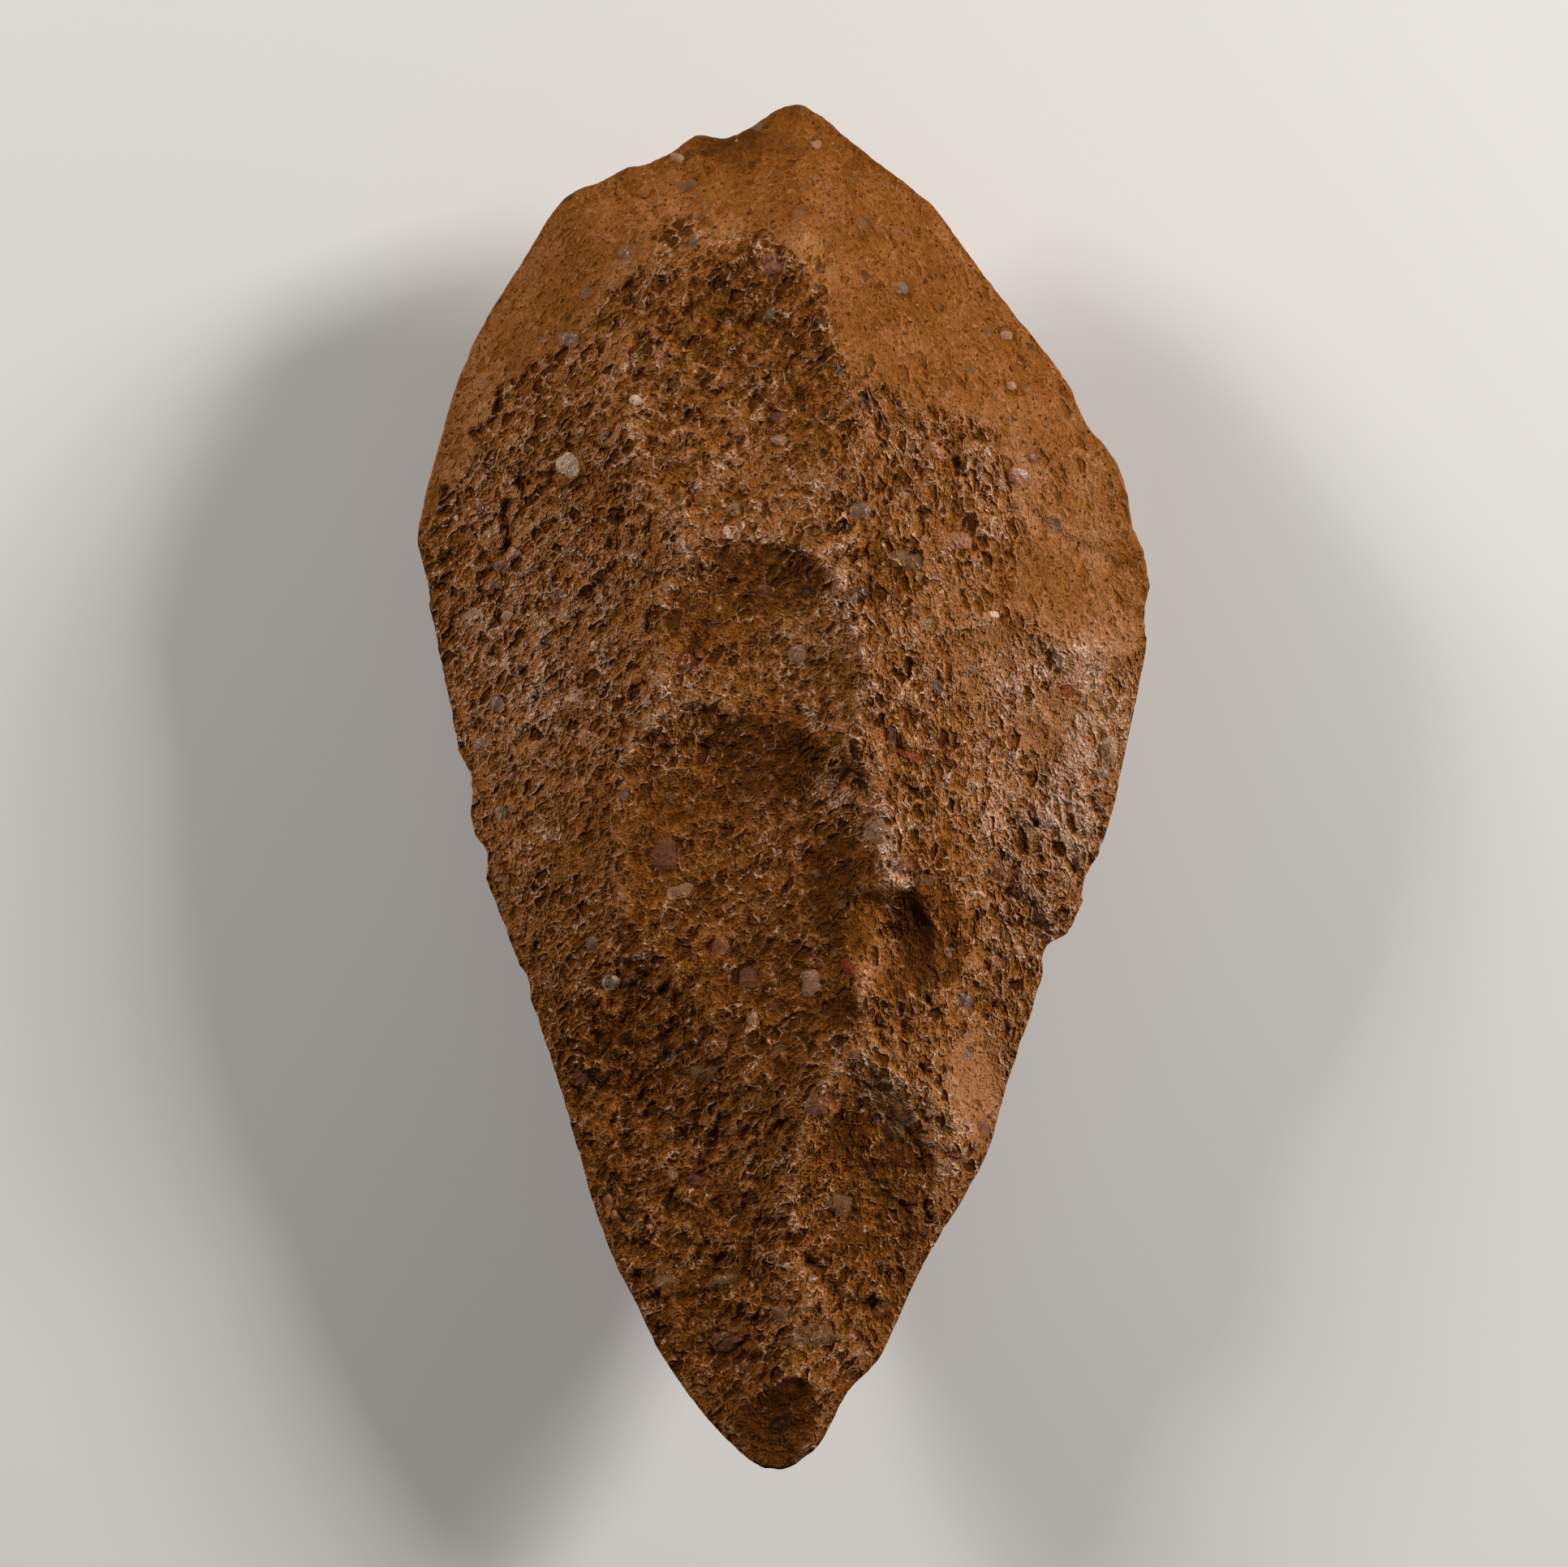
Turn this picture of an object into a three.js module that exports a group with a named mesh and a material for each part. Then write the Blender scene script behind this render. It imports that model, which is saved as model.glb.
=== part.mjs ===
// Stone hand axe: one flaked piece of coarse brown quartzite, worked on both faces.
//
// Units are millimetres and +Z is up. The axe lies on the flat facet of its plainer face, with the
// broad butt towards +Y, the point towards -Y and the crested face up. The origin is the middle of
// its outline's box, on the surface that it lies on.
//
// Each face is the lower envelope of a plain lens and of a set of flake scars, which are shallow
// bowls struck in from the edge, so the ridges between the scars come out where the bowls cross.

import * as THREE from 'three';

// Driving dimensions
const LENGTH = 180;
const WIDTH = 96.4;
const RIM_HEIGHT = 22;          // mean height of the worked edge above the resting facet
const RIM_SWAY = [1.1, 0.6];    // slow rise and fall of the edge, in two and in three waves
const SWAY_REACH = 14;          // how far in from the edge that sway is felt
const CREST_OFFSET = 6;         // how far the crest of the upper face leans to the right
const CREST_INSET = 22;         // distance from the edge at which it leans fully
const POINT_FADE = 60;          // the lean grows over this length from the point
const BUTT_FADE = 30;           // and dies away over this length at the butt
const FRONT_RISE = [0.86, 0.0042];  // lens of the upper face: rise and fall-off with edge distance
const BACK_RISE = [0.88, 0.0052];   // the same for the face underneath
const EDGE_WEDGE = 0.30;        // least slope of either face at the edge
const EDGE_REACH = 30;          // how far in that wedge is felt
const RIDGE_ROUNDING = 0.8;     // worn width of the ridges between scars
const CELLS_ACROSS = 40;
const CELLS_ALONG = 62;

// The worked edge runs through these points, anticlockwise from the top of the butt.
const OUTLINE = [
  [1.5, 90.2], [-6.6, 86], [-12.6, 85.8], [-22.5, 80.8], [-29, 77.6], [-33.5, 70.8], [-41.2, 57.9],
  [-45.6, 44.4], [-48.2, 32.6], [-46.3, 22.3], [-44.1, 11.8], [-41, -4.1], [-38.9, -12.3],
  [-35, -22.5], [-29.6, -38.5], [-24, -57.7], [-17.9, -71.6], [-9.9, -83.4], [-2.1, -90.1],
  [4.2, -87.6], [8.6, -80], [13, -75.2], [16.8, -66.8], [19.8, -61], [26.6, -49.4], [29.9, -38.5],
  [34, -26], [34.6, -21.4], [38.6, -17.6], [43.3, -3.4], [45.3, 5.9], [47.9, 19], [48.2, 27.6],
  [44.6, 41.5], [41.2, 46.8], [37, 54.2], [32.4, 60.2], [26.8, 67.3], [18, 78.8], [8.2, 86.2],
];

// Small chips out of the edge: bearing from the middle (degrees), half width (degrees), depth.
const EDGE_CHIPS = [
  [25.5, 3.2, 0.8], [37, 3.5, 0.6], [50.5, 3, 0.5], [80.5, 4.5, 0.7], [100.8, 3.2, 1], [149.6, 3, 0.8],
  [179, 5.5, 0.9], [193, 4, 0.85], [217, 3, 0.55], [254, 3, 0.5], [343.5, 4.5, 0.8],
];

// Flake scars. Each is a shallow bowl: where it is centred (x, y) and its height there over the level
// of the edge, the bearing that it faces and its slope towards it, the bearing that the flake ran
// along, how far the bowl reaches ahead and behind and to each side before it has risen by its bow,
// and the steepness of the step where the flake broke off.
const FRONT_SCARS = [
  // x, y, height, facing, slope, strike, ahead, behind, half width, bow, step
  scar(-32, 60, 5.5, 153, 39, -30, 12, 14, 22, 0.5, 0),
  scar(-10, 79, 4.6, 106, 37, -75, 12, 14, 22, 0.5, 0),
  scar(26, 60, 3.9, 38, 34.5, 218, 18, 20, 32, 0.5, 0),
  scar(-5, 55, 13.8, 140, 12, 110, 24, 24, 19, 1, 0),
  scar(-5, 38, 16, 100, 5, 90, 14, 20, 16, 0.9, 0),
  scar(-4.5, 24, 14.3, 268, 8, 88, 8, 24, 9, 1, 0.8),
  scar(-6, 2, 10.5, 262, 9, 86, 8, 24, 10, 0.9, 0.8),
  scar(6.5, -7.5, 11.2, 226, 24, 80, 7, 7, 7, 1.3, 1.2),
  scar(-23.6, 51.3, 13.2, 155, 34.7, -30, 30, 30, 40, 0.3, 0),
  scar(18.5, -18.5, 6.8, 235, 14, 62, 5.5, 6.5, 4.8, 1.6, 1.6),
  scar(-29, 20, 8.1, 183, 26, 4, 24, 30, 40, 1, 0),
  scar(-20, -25, 6.2, 238, 21, 55, 14, 18, 16.5, 1, 0.7),
  scar(-15, -43, 4.6, 215, 25, 25, 14, 20, 9, 0.9, 0.5),
  scar(-11, -58, 4, 215, 27, 35, 13, 20, 8, 0.8, 0.3),
  scar(-8, -71, 3, 210, 28, 30, 10, 16, 8, 0.7, 0.3),
  scar(18, 38, 12.3, 3, 19, 185, 18, 30, 20, 0.9, 0.2),
  scar(38, 33, 4.3, 6, 28, 185, 12, 14, 28, 0.4, 0),
  scar(24, 2, 8.3, 352, 23, 120, 17, 26, 16, 0.7, 0.3),
  scar(31, -23, 2.2, 330, 28, 150, 8, 14, 6, 0.8, 0.9),
  scar(17, -33, 6.8, 350, 20, 165, 12, 20, 12, 0.8, 0.6),
  scar(25, -39, 2.4, 2, 33, 180, 7, 10, 9, 0.3, 0),
  scar(16, -54, 3.6, 300, 22, 140, 10, 14, 9, 0.8, 0.8),
  scar(10, -44, 6.6, 262, 12, 90, 2.6, 2.6, 5, 0.9, 1.6),
  scar(14, -48, 5, 240, 15, 60, 4.5, 5, 5, 1, 1.2),
  scar(1, -62, 5.2, 10, 22, 235, 10, 6.5, 6, 0.5, 0.2),
  scar(9, -73, 2.6, 335, 26, 150, 10, 14, 7, 0.5, 0.3),
  scar(-1.5, -82, 1.9, 268, 16, 90, 5, 9, 8, 0.9, 1.5),
];
const BACK_SCARS = [
  // x, y, height, facing, slope, strike, ahead, behind, half width, bow, step
  scar(4, 74, 9.3, 84, 36, -92, 16, 16, 40, 0.8, 0),
  scar(-34, 50, 6.9, 146, 37, -30, 18, 18, 20, 0.8, 0),
  scar(-36, 15, 5.9, 183, 38, 5, 20, 20, 20, 0.9, 0),
  scar(-27, -23, 4.9, 200, 36, 25, 16, 16, 17, 0.9, 0.3),
  scar(-16, -53, 6.5, 206, 35, 30, 13, 13, 13, 0.8, 0.3),
  scar(35, 46, 3.8, 24, 37, 205, 18, 18, 22, 0.8, 0),
  scar(38, 10, 5.4, 355, 38, 175, 19, 19, 18, 0.9, 0.3),
  scar(25, -25, 6.2, 338, 37, 160, 16, 16, 15, 0.9, 0.3),
  scar(14, -55, 5.7, 336, 35, 155, 12, 12, 14, 0.8, 0.3),
  scar(-1, -79, 6.4, 272, 31, 90, 10, 10, 12, 0.6, 0),
];

const STONE = { color: 0x6b4222, roughness: 0.62, metalness: 0 };
const SPLINE_STEPS = 8;

/** A scar as a record, with its bearings and slope turned into vectors and a rise. */
function scar(x, y, height, facing, slope, strike, ahead, behind, halfWidth, bow, step) {
  const face = THREE.MathUtils.degToRad(facing);
  const run = THREE.MathUtils.degToRad(strike);
  return {
    x,
    y,
    faceX: Math.cos(face),
    faceY: Math.sin(face),
    runX: Math.cos(run),
    runY: Math.sin(run),
    fall: Math.tan(THREE.MathUtils.degToRad(slope)),
    height,
    ahead,
    behind,
    halfWidth,
    bow,
    step,
  };
}

/** The closed edge curve as a ring of points, before its chips. */
function edgeRing() {
  const points = OUTLINE.map(([x, y]) => new THREE.Vector3(x, y, 0));
  const curve = new THREE.CatmullRomCurve3(points, true, 'catmullrom', 0.5);
  const ring = curve.getPoints(OUTLINE.length * SPLINE_STEPS);
  ring.pop();
  return ring;
}

const ring = edgeRing();

/** Distance from the middle to the worked edge along a bearing in radians, with the chips out. */
function edgeRadius(bearing) {
  const rayX = Math.cos(bearing);
  const rayY = Math.sin(bearing);
  let radius = 0;
  for (let i = 0; i < ring.length; i += 1) {
    const p = ring[i];
    const q = ring[(i + 1) % ring.length];
    const sideP = rayX * p.y - rayY * p.x;
    const sideQ = rayX * q.y - rayY * q.x;
    if (sideP <= 0 && sideQ > 0) {
      const t = sideP / (sideP - sideQ);
      radius = rayX * (p.x + t * (q.x - p.x)) + rayY * (p.y + t * (q.y - p.y));
    }
  }
  for (const [chipBearing, halfWidth, depth] of EDGE_CHIPS) {
    const offset = THREE.MathUtils.radToDeg(bearing) - chipBearing;
    const turned = THREE.MathUtils.euclideanModulo(offset + 180, 360) - 180;
    radius -= depth * Math.max(0, 1 - (turned / halfWidth) ** 2);
  }
  return radius;
}

/** Least distance from a point to the edge ring. */
function edgeDistance(x, y) {
  let least = Infinity;
  for (let i = 0; i < ring.length; i += 1) {
    const p = ring[i];
    const q = ring[(i + 1) % ring.length];
    const dx = q.x - p.x;
    const dy = q.y - p.y;
    const along = ((x - p.x) * dx + (y - p.y) * dy) / (dx * dx + dy * dy);
    const t = THREE.MathUtils.clamp(along, 0, 1);
    least = Math.min(least, Math.hypot(x - p.x - t * dx, y - p.y - t * dy));
  }
  return least;
}

/** Lens of a face: it rises from the edge and levels off, and its crest can lean to one side. */
function lens(x, y, [rise, fallOff], crestOffset) {
  const inner = THREE.MathUtils.clamp(edgeDistance(x, y) / CREST_INSET, 0, 1);
  const abovePoint = THREE.MathUtils.clamp((LENGTH / 2 + 2 + y) / POINT_FADE, 0, 1);
  const belowButt = THREE.MathUtils.clamp((LENGTH / 2 + 6 - y) / BUTT_FADE, 0, 1);
  const distance = edgeDistance(x - crestOffset * inner * abovePoint * belowButt, y);
  return rise * distance - fallOff * distance * distance;
}

/** A point moved a little by slow waves, so that no scar has a ruled outline. */
function wander(x, y) {
  return [
    x + 0.9 * Math.sin(0.33 * y + 0.8) + 0.25 * Math.sin(0.71 * y - 0.45 * x + 2.1),
    y + 0.9 * Math.sin(0.29 * x + 1.9) + 0.25 * Math.sin(0.63 * x + 0.52 * y + 0.4),
  ];
}

/** Height of one scar's bowl at a point, over the level of the edge. */
function scarHeight(s, x, y) {
  const [wanderX, wanderY] = wander(x, y);
  const dx = wanderX - s.x;
  const dy = wanderY - s.y;
  const run = dx * s.runX + dy * s.runY;
  const along = run / (run > 0 ? s.ahead : s.behind);
  const across = (dy * s.runX - dx * s.runY) / s.halfWidth;
  const plane = s.height - s.fall * ((x - s.x) * s.faceX + (y - s.y) * s.faceY);
  const bowl = s.bow * (along * along + across * across);
  const outside = Math.max(0, Math.hypot(Math.max(along, 0), across) - 1);
  const inFront = THREE.MathUtils.clamp(along, 0, 1);
  return plane + bowl + s.step * outside * inFront * Math.min(s.ahead, s.halfWidth);
}

/** The smaller of two heights, with the ridge between them rounded. */
function softMin(a, b) {
  const near = Math.max(RIDGE_ROUNDING - Math.abs(a - b), 0) / RIDGE_ROUNDING;
  return Math.min(a, b) - near * near * RIDGE_ROUNDING * 0.25;
}

/** Height of a worked face over the level of the edge: the envelope of its lens and its scars. */
function faceHeight(x, y, scars, rise, crestOffset) {
  let height = lens(x, y, rise, crestOffset);
  for (const s of scars) {
    height = softMin(height, scarHeight(s, x, y));
  }
  const distance = edgeDistance(x, y);
  return Math.max(height, EDGE_WEDGE * distance * Math.exp(-distance / EDGE_REACH));
}

/** Level of the worked edge, carried inside the outline, where its sway dies away. */
function edgeLevel(x, y) {
  const bearing = Math.atan2(y, x);
  const sway = RIM_SWAY[0] * Math.sin(2 * bearing + 0.7) + RIM_SWAY[1] * Math.sin(3 * bearing + 2.1);
  return RIM_HEIGHT + sway * Math.exp(-((edgeDistance(x, y) / SWAY_REACH) ** 2));
}

/** Plan position of a grid point: a square grid bent into a disc, then stretched to the outline. */
function planPoint(i, j) {
  const a = (2 * i) / CELLS_ACROSS - 1;
  const b = (2 * j) / CELLS_ALONG - 1;
  const discX = a * Math.sqrt(1 - (b * b) / 2);
  const discY = b * Math.sqrt(1 - (a * a) / 2);
  const x = (WIDTH / 2) * discX;
  const y = (LENGTH / 2) * discY;
  const radius = Math.hypot(discX, discY);
  if (radius === 0) {
    return [0, 0];
  }
  const bearing = Math.atan2(y, x);
  const ellipseRadius = Math.hypot(x, y) / radius;
  const stretch = 1 + (edgeRadius(bearing) / ellipseRadius - 1) * radius * radius;
  return [x * stretch, y * stretch];
}

/** Both faces as grids that share their outer vertices, with every triangle facing outwards. */
function handAxeGeometry() {
  const positions = [];
  const upper = [];
  const lower = [];
  const addVertex = (x, y, z) => positions.push(x, y, z) / 3 - 1;
  for (let j = 0; j <= CELLS_ALONG; j += 1) {
    for (let i = 0; i <= CELLS_ACROSS; i += 1) {
      const [x, y] = planPoint(i, j);
      const level = edgeLevel(x, y);
      const onEdge = i === 0 || j === 0 || i === CELLS_ACROSS || j === CELLS_ALONG;
      if (onEdge) {
        const shared = addVertex(x, y, level);
        upper.push(shared);
        lower.push(shared);
      } else {
        const rise = faceHeight(x, y, FRONT_SCARS, FRONT_RISE, CREST_OFFSET);
        const drop = faceHeight(x, y, BACK_SCARS, BACK_RISE, 0);
        upper.push(addVertex(x, y, level + rise));
        lower.push(addVertex(x, y, Math.max(0, level - drop)));
      }
    }
  }
  const indices = [];
  const row = CELLS_ACROSS + 1;
  for (let j = 0; j < CELLS_ALONG; j += 1) {
    for (let i = 0; i < CELLS_ACROSS; i += 1) {
      const corners = [j * row + i, j * row + i + 1, (j + 1) * row + i + 1, (j + 1) * row + i];
      // The diagonal of each cell points at the grid's nearest corner.
      const turn = (2 * i < CELLS_ACROSS) === (2 * j < CELLS_ALONG) ? 0 : 1;
      const [p, q, r, s] = [0, 1, 2, 3].map((k) => corners[(k + turn) % 4]);
      indices.push(upper[p], upper[q], upper[r], upper[p], upper[r], upper[s]);
      indices.push(lower[p], lower[r], lower[q], lower[p], lower[s], lower[r]);
    }
  }
  const geometry = new THREE.BufferGeometry();
  geometry.setAttribute('position', new THREE.Float32BufferAttribute(positions, 3));
  geometry.setIndex(indices);
  return geometry;
}

/** Brings the outline's box to the stated length and width, centred on the origin. */
function trimToSize(geometry) {
  geometry.computeBoundingBox();
  const { min, max } = geometry.boundingBox;
  geometry.translate(-(min.x + max.x) / 2, -(min.y + max.y) / 2, 0);
  geometry.scale(WIDTH / (max.x - min.x), LENGTH / (max.y - min.y), 1);
  geometry.computeVertexNormals();
  return geometry;
}

const handAxe = new THREE.Mesh(trimToSize(handAxeGeometry()), new THREE.MeshStandardMaterial(STONE));
handAxe.name = 'hand_axe';

const part = new THREE.Group();
part.add(handAxe);

export default part;
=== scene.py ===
"""Stone hand axe: the looks of one flaked block of coarse, pebbly brown quartzite.

The block is a single mesh. Each of its two faces is a height over a square grid that is bent to the
outline: the lower envelope of a lens and of flake scars, with lumps, streaks, pits and pebbles
added to it. Heights are worked out in millimetres and put into the mesh in metres.
"""

import logging
import math
from dataclasses import dataclass, field
from enum import Enum, IntEnum
from typing import ClassVar

import bpy
import numpy as np
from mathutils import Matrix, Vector


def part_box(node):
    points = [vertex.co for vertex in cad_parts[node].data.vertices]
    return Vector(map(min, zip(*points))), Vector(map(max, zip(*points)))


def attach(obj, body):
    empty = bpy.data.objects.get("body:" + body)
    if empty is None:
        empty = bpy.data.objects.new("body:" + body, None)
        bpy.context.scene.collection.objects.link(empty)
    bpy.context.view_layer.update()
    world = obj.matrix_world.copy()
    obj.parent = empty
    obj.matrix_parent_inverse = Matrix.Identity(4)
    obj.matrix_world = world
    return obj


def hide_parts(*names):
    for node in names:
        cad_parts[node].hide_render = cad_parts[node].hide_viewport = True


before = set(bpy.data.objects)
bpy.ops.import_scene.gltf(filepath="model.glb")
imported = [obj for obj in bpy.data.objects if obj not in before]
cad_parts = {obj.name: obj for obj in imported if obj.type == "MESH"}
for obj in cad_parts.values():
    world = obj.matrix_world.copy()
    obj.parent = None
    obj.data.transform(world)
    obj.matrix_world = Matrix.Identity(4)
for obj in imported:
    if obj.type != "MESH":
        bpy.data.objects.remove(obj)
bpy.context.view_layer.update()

Array = np.ndarray
Socket = bpy.types.NodeSocket
Value = Socket | float
Colour = tuple[float, float, float]

MM = 0.001
TOP_CELLS = (208, 376)
SEED = 11

log = logging.getLogger("hand_axe")


class Layer(IntEnum):
    """Which lattice each noise of the stone takes, so that no two of them match."""

    NIBBLE = 60
    PEBBLE_RIM = 70
    NICK = 80
    BORDER_ACROSS = 90
    BORDER_ALONG = 94
    SIDE = 97
    FRONT_RELIEF = 100
    JAG_ACROSS = 110
    JAG_ALONG = 120
    BACK_RELIEF = 300


def linear(red: float, green: float, blue: float) -> Colour:
    """Turns a display colour from 0 to 255 into the linear colour that shaders use.

    Args:
        red: Red, 0 to 255.
        green: Green, 0 to 255.
        blue: Blue, 0 to 255.

    Returns:
        The linear colour, 0 to 1.
    """
    parts = (v / 255 for v in (red, green, blue))
    return tuple(v / 12.92 if v <= 0.04045 else ((v + 0.055) / 1.055) ** 2.4 for v in parts)


def ease(low: float, high: float, value: Array) -> Array:
    """Smooth step: 0 under low, 1 over high, and 3t² - 2t³ between them.

    Args:
        low: Value where the step starts.
        high: Value where it ends.
        value: Values to grade.

    Returns:
        The graded values, 0 to 1.
    """
    t = np.clip((value - low) / (high - low), 0, 1)
    return t * t * (3 - 2 * t)


def soften(values: Array, steps: int) -> Array:
    """Evens out values on a grid: in each step a value moves half way to its neighbours' mean.

    Args:
        values: Values on the grid.
        steps: How many times.

    Returns:
        The evened values.
    """
    for _ in range(steps):
        padded = np.pad(values, 1, mode="edge")
        beside = padded[:-2, 1:-1] + padded[2:, 1:-1] + padded[1:-1, :-2] + padded[1:-1, 2:]
        values = (4 * values + beside) / 8
    return values


def wander(x: Array, y: Array) -> tuple[Array, Array]:
    """Places moved a little by slow waves, so that no scar has a ruled outline.

    Args:
        x: Places, in mm.
        y: Places, in mm.

    Returns:
        The moved places, in mm.
    """
    return (
        x + 0.9 * np.sin(0.33 * y + 0.8) + 0.25 * np.sin(0.71 * y - 0.45 * x + 2.1),
        y + 0.9 * np.sin(0.29 * x + 1.9) + 0.25 * np.sin(0.63 * x + 0.52 * y + 0.4),
    )


class Noise:
    """Seeded lattice noise on whole arrays."""

    def __init__(self, seed: int) -> None:
        """Keeps the seed that shifts every lattice."""
        self.seed = seed

    def lattice(self, i: Array, j: Array, layer: int) -> Array:
        """A random value for each lattice corner.

        The two whole numbers are mixed by multiplying with large odd numbers and folding the high
        bits down, which gives the same value on every run.

        Args:
            i: Lattice column.
            j: Lattice row.
            layer: Tells apart the noises that share a seed.

        Returns:
            Values from 0 to 1.
        """
        shift = np.uint64((self.seed * 2654435761 + layer * 40503) & 0xFFFFFFFF)
        h = i.astype(np.int64).astype(np.uint64) * np.uint64(0x9E3779B97F4A7C15)
        h ^= j.astype(np.int64).astype(np.uint64) * np.uint64(0xC2B2AE3D27D4EB4F)
        h += shift * np.uint64(0x165667B19E3779F9)
        h ^= h >> np.uint64(33)
        h *= np.uint64(0xFF51AFD7ED558CCD)
        h ^= h >> np.uint64(29)
        h *= np.uint64(0xC4CEB9FE1A85EC53)
        h ^= h >> np.uint64(32)
        return (h >> np.uint64(11)).astype(np.float64) / float(1 << 53)

    def smooth(self, x: Array, y: Array, layer: int) -> Array:
        """Gradient noise: each corner tilts its own way, and the tilts are blended across a cell.

        Args:
            x: Places, in cells.
            y: Places, in cells.
            layer: Which noise.

        Returns:
            Values from about -1 to 1.
        """
        i, j = np.floor(x), np.floor(y)
        u, v = x - i, y - j
        fade_u = u * u * u * (u * (6 * u - 15) + 10)
        fade_v = v * v * v * (v * (6 * v - 15) + 10)

        def tilt(di: int, dj: int) -> Array:
            """The height of one corner's tilted plane."""
            angle = 2 * math.pi * self.lattice(i + di, j + dj, layer)
            return np.cos(angle) * (u - di) + np.sin(angle) * (v - dj)

        low = tilt(0, 0) + fade_u * (tilt(1, 0) - tilt(0, 0))
        high = tilt(0, 1) + fade_u * (tilt(1, 1) - tilt(0, 1))
        return 1.5 * (low + fade_v * (high - low))

    def layered(self, x: Array, y: Array, layer: int, octaves: int, keep: float = 0.5) -> Array:
        """Sum of smooth noises, each at twice the pitch and `keep` times the height of the last.

        Args:
            x: Places, in cells of the largest noise.
            y: Places, in cells of the largest noise.
            layer: Which noise.
            octaves: How many are added.
            keep: Height ratio from one to the next.

        Returns:
            Values from about -1 to 1.
        """
        total, height, pitch = np.zeros_like(x), 1.0, 1.0
        for octave in range(octaves):
            total += height * self.smooth(x * pitch + 17 * octave, y * pitch - 9 * octave, layer + octave)
            height *= keep
            pitch *= 2
        return total * (1 - keep) / (1 - keep**octaves)

    def cells(self, x: Array, y: Array, layer: int) -> tuple[Array, Array, Array]:
        """Cellular noise: one random dot in each cell of the lattice.

        Args:
            x: Places, in cells.
            y: Places, in cells.
            layer: Which noise.

        Returns:
            The distance to the nearest dot, that dot's own random value, and the height of a
            plane through the dot that tilts its own way.
        """
        i, j = np.floor(x), np.floor(y)
        nearest, owner, lean = np.full_like(x, 9.0), np.zeros_like(x), np.zeros_like(x)
        for di in (-1, 0, 1):
            for dj in (-1, 0, 1):
                dx = x - i - di - self.lattice(i + di, j + dj, layer)
                dy = y - j - dj - self.lattice(i + di, j + dj, layer + 50)
                gap = np.hypot(dx, dy)
                own = self.lattice(i + di, j + dj, layer + 90)
                closer = gap < nearest
                owner = np.where(closer, own, owner)
                turn = 2 * math.pi * self.lattice(i + di, j + dj, layer + 130)
                lean = np.where(closer, dx * np.cos(turn) + dy * np.sin(turn), lean)
                nearest = np.minimum(nearest, gap)
        return nearest, owner, lean


@dataclass(frozen=True)
class Scar:
    """One flake scar: a shallow bowl struck in from the edge.

    `x` and `y` are its middle, `height` its height there over the edge, and `facing` the bearing
    that it faces, at `slope` degrees. The flake ran along `strike`; the bowl has risen by `bow`
    at `ahead`, at `behind` and at `half_width` to each side. `step` is the steepness where the
    flake broke off. `grain` is how rough its surface is, 0 to 1, and `tone` how pale (1) or dark
    (-1) it is: partly its patina, and on the scoops and recesses that lie in shade partly painted shade.
    """

    x: float
    y: float
    height: float
    facing: float
    slope: float
    strike: float
    ahead: float
    behind: float
    half_width: float
    bow: float
    step: float
    grain: float = 1.0
    tone: float = 0.0

    def bowl(self, x: Array, y: Array, jag: tuple[Array, Array]) -> Array:
        """Height of the bowl: its plane, plus the bow times the squared places along and across
        the strike, plus the step outside its ellipse on the side that the flake ran towards.

        Args:
            x: Places, in mm.
            y: Places, in mm.
            jag: How far the bowl is shifted at each place, along x and y, in mm.

        Returns:
            Heights over the edge, in mm.
        """
        face, run = math.radians(self.facing), math.radians(self.strike)
        wander_x, wander_y = wander(x, y)
        dx, dy = wander_x + jag[0] - self.x, wander_y + jag[1] - self.y
        along = dx * math.cos(run) + dy * math.sin(run)
        along = along / np.where(along > 0, self.ahead, self.behind)
        across = (dy * math.cos(run) - dx * math.sin(run)) / self.half_width
        away = (x - self.x) * math.cos(face) + (y - self.y) * math.sin(face)
        plane = self.height - math.tan(math.radians(self.slope)) * away
        outside = np.maximum(0, np.hypot(np.maximum(along, 0), across) - 1) * np.clip(along, 0, 1)
        bowl = self.bow * (along**2 + across**2)
        return plane + bowl + self.step * outside * min(self.ahead, self.half_width)


@dataclass(frozen=True)
class PatinaAndShadingPatch:
    """A patch of patina and painted light and shade: its middle and half sizes in mm, how much paler (+)
    or darker (-) it is, how much rougher (+) or smoother (-), and whether its edge is crisp towards the
    butt and the right. Some are the patina's own paler and darker areas; the crisp dark ones paint the
    shade in scoops and recesses under a step, and pale ones paint light on lit ridges and flanks."""

    x: float
    y: float
    half_x: float
    half_y: float
    tone: float
    grain: float = 0.0
    crisp: bool = False

    def share(self, x: Array, y: Array) -> Array:
        """How much the patch counts at each place: 1 in the middle, 0 outside its ellipse. A crisp
        patch's edge is narrow, but fades out towards the point and the left."""
        across, along = (x - self.x) / self.half_x, (y - self.y) / self.half_y
        reach = np.hypot(across, along)
        below = np.clip(-0.7 * (across + along), 0, 1)
        return ease(1.05, 0.92 - 0.55 * below, reach) if self.crisp else ease(1.15, 0.45, reach)


@dataclass(frozen=True)
class Groove:
    """A crack or trough from one place to another, in mm."""

    start: tuple[float, float]
    end: tuple[float, float]
    half_width: float
    depth: float

    def cut(self, x: Array, y: Array) -> Array:
        """Depth of the groove: full on its line, none at its half width, rounded between.

        Args:
            x: Places, in mm.
            y: Places, in mm.

        Returns:
            Depths, in mm.
        """
        dx, dy = self.end[0] - self.start[0], self.end[1] - self.start[1]
        t = np.clip(((x - self.start[0]) * dx + (y - self.start[1]) * dy) / (dx * dx + dy * dy), 0, 1)
        gap = np.hypot(x - self.start[0] - t * dx, y - self.start[1] - t * dy)
        return self.depth * (1 - ease(0, self.half_width, gap))


@dataclass(frozen=True)
class Chip:
    """A small chip out of the edge: its bearing and half width in degrees, and its depth in mm."""

    bearing: float
    half_width: float
    depth: float


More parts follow.
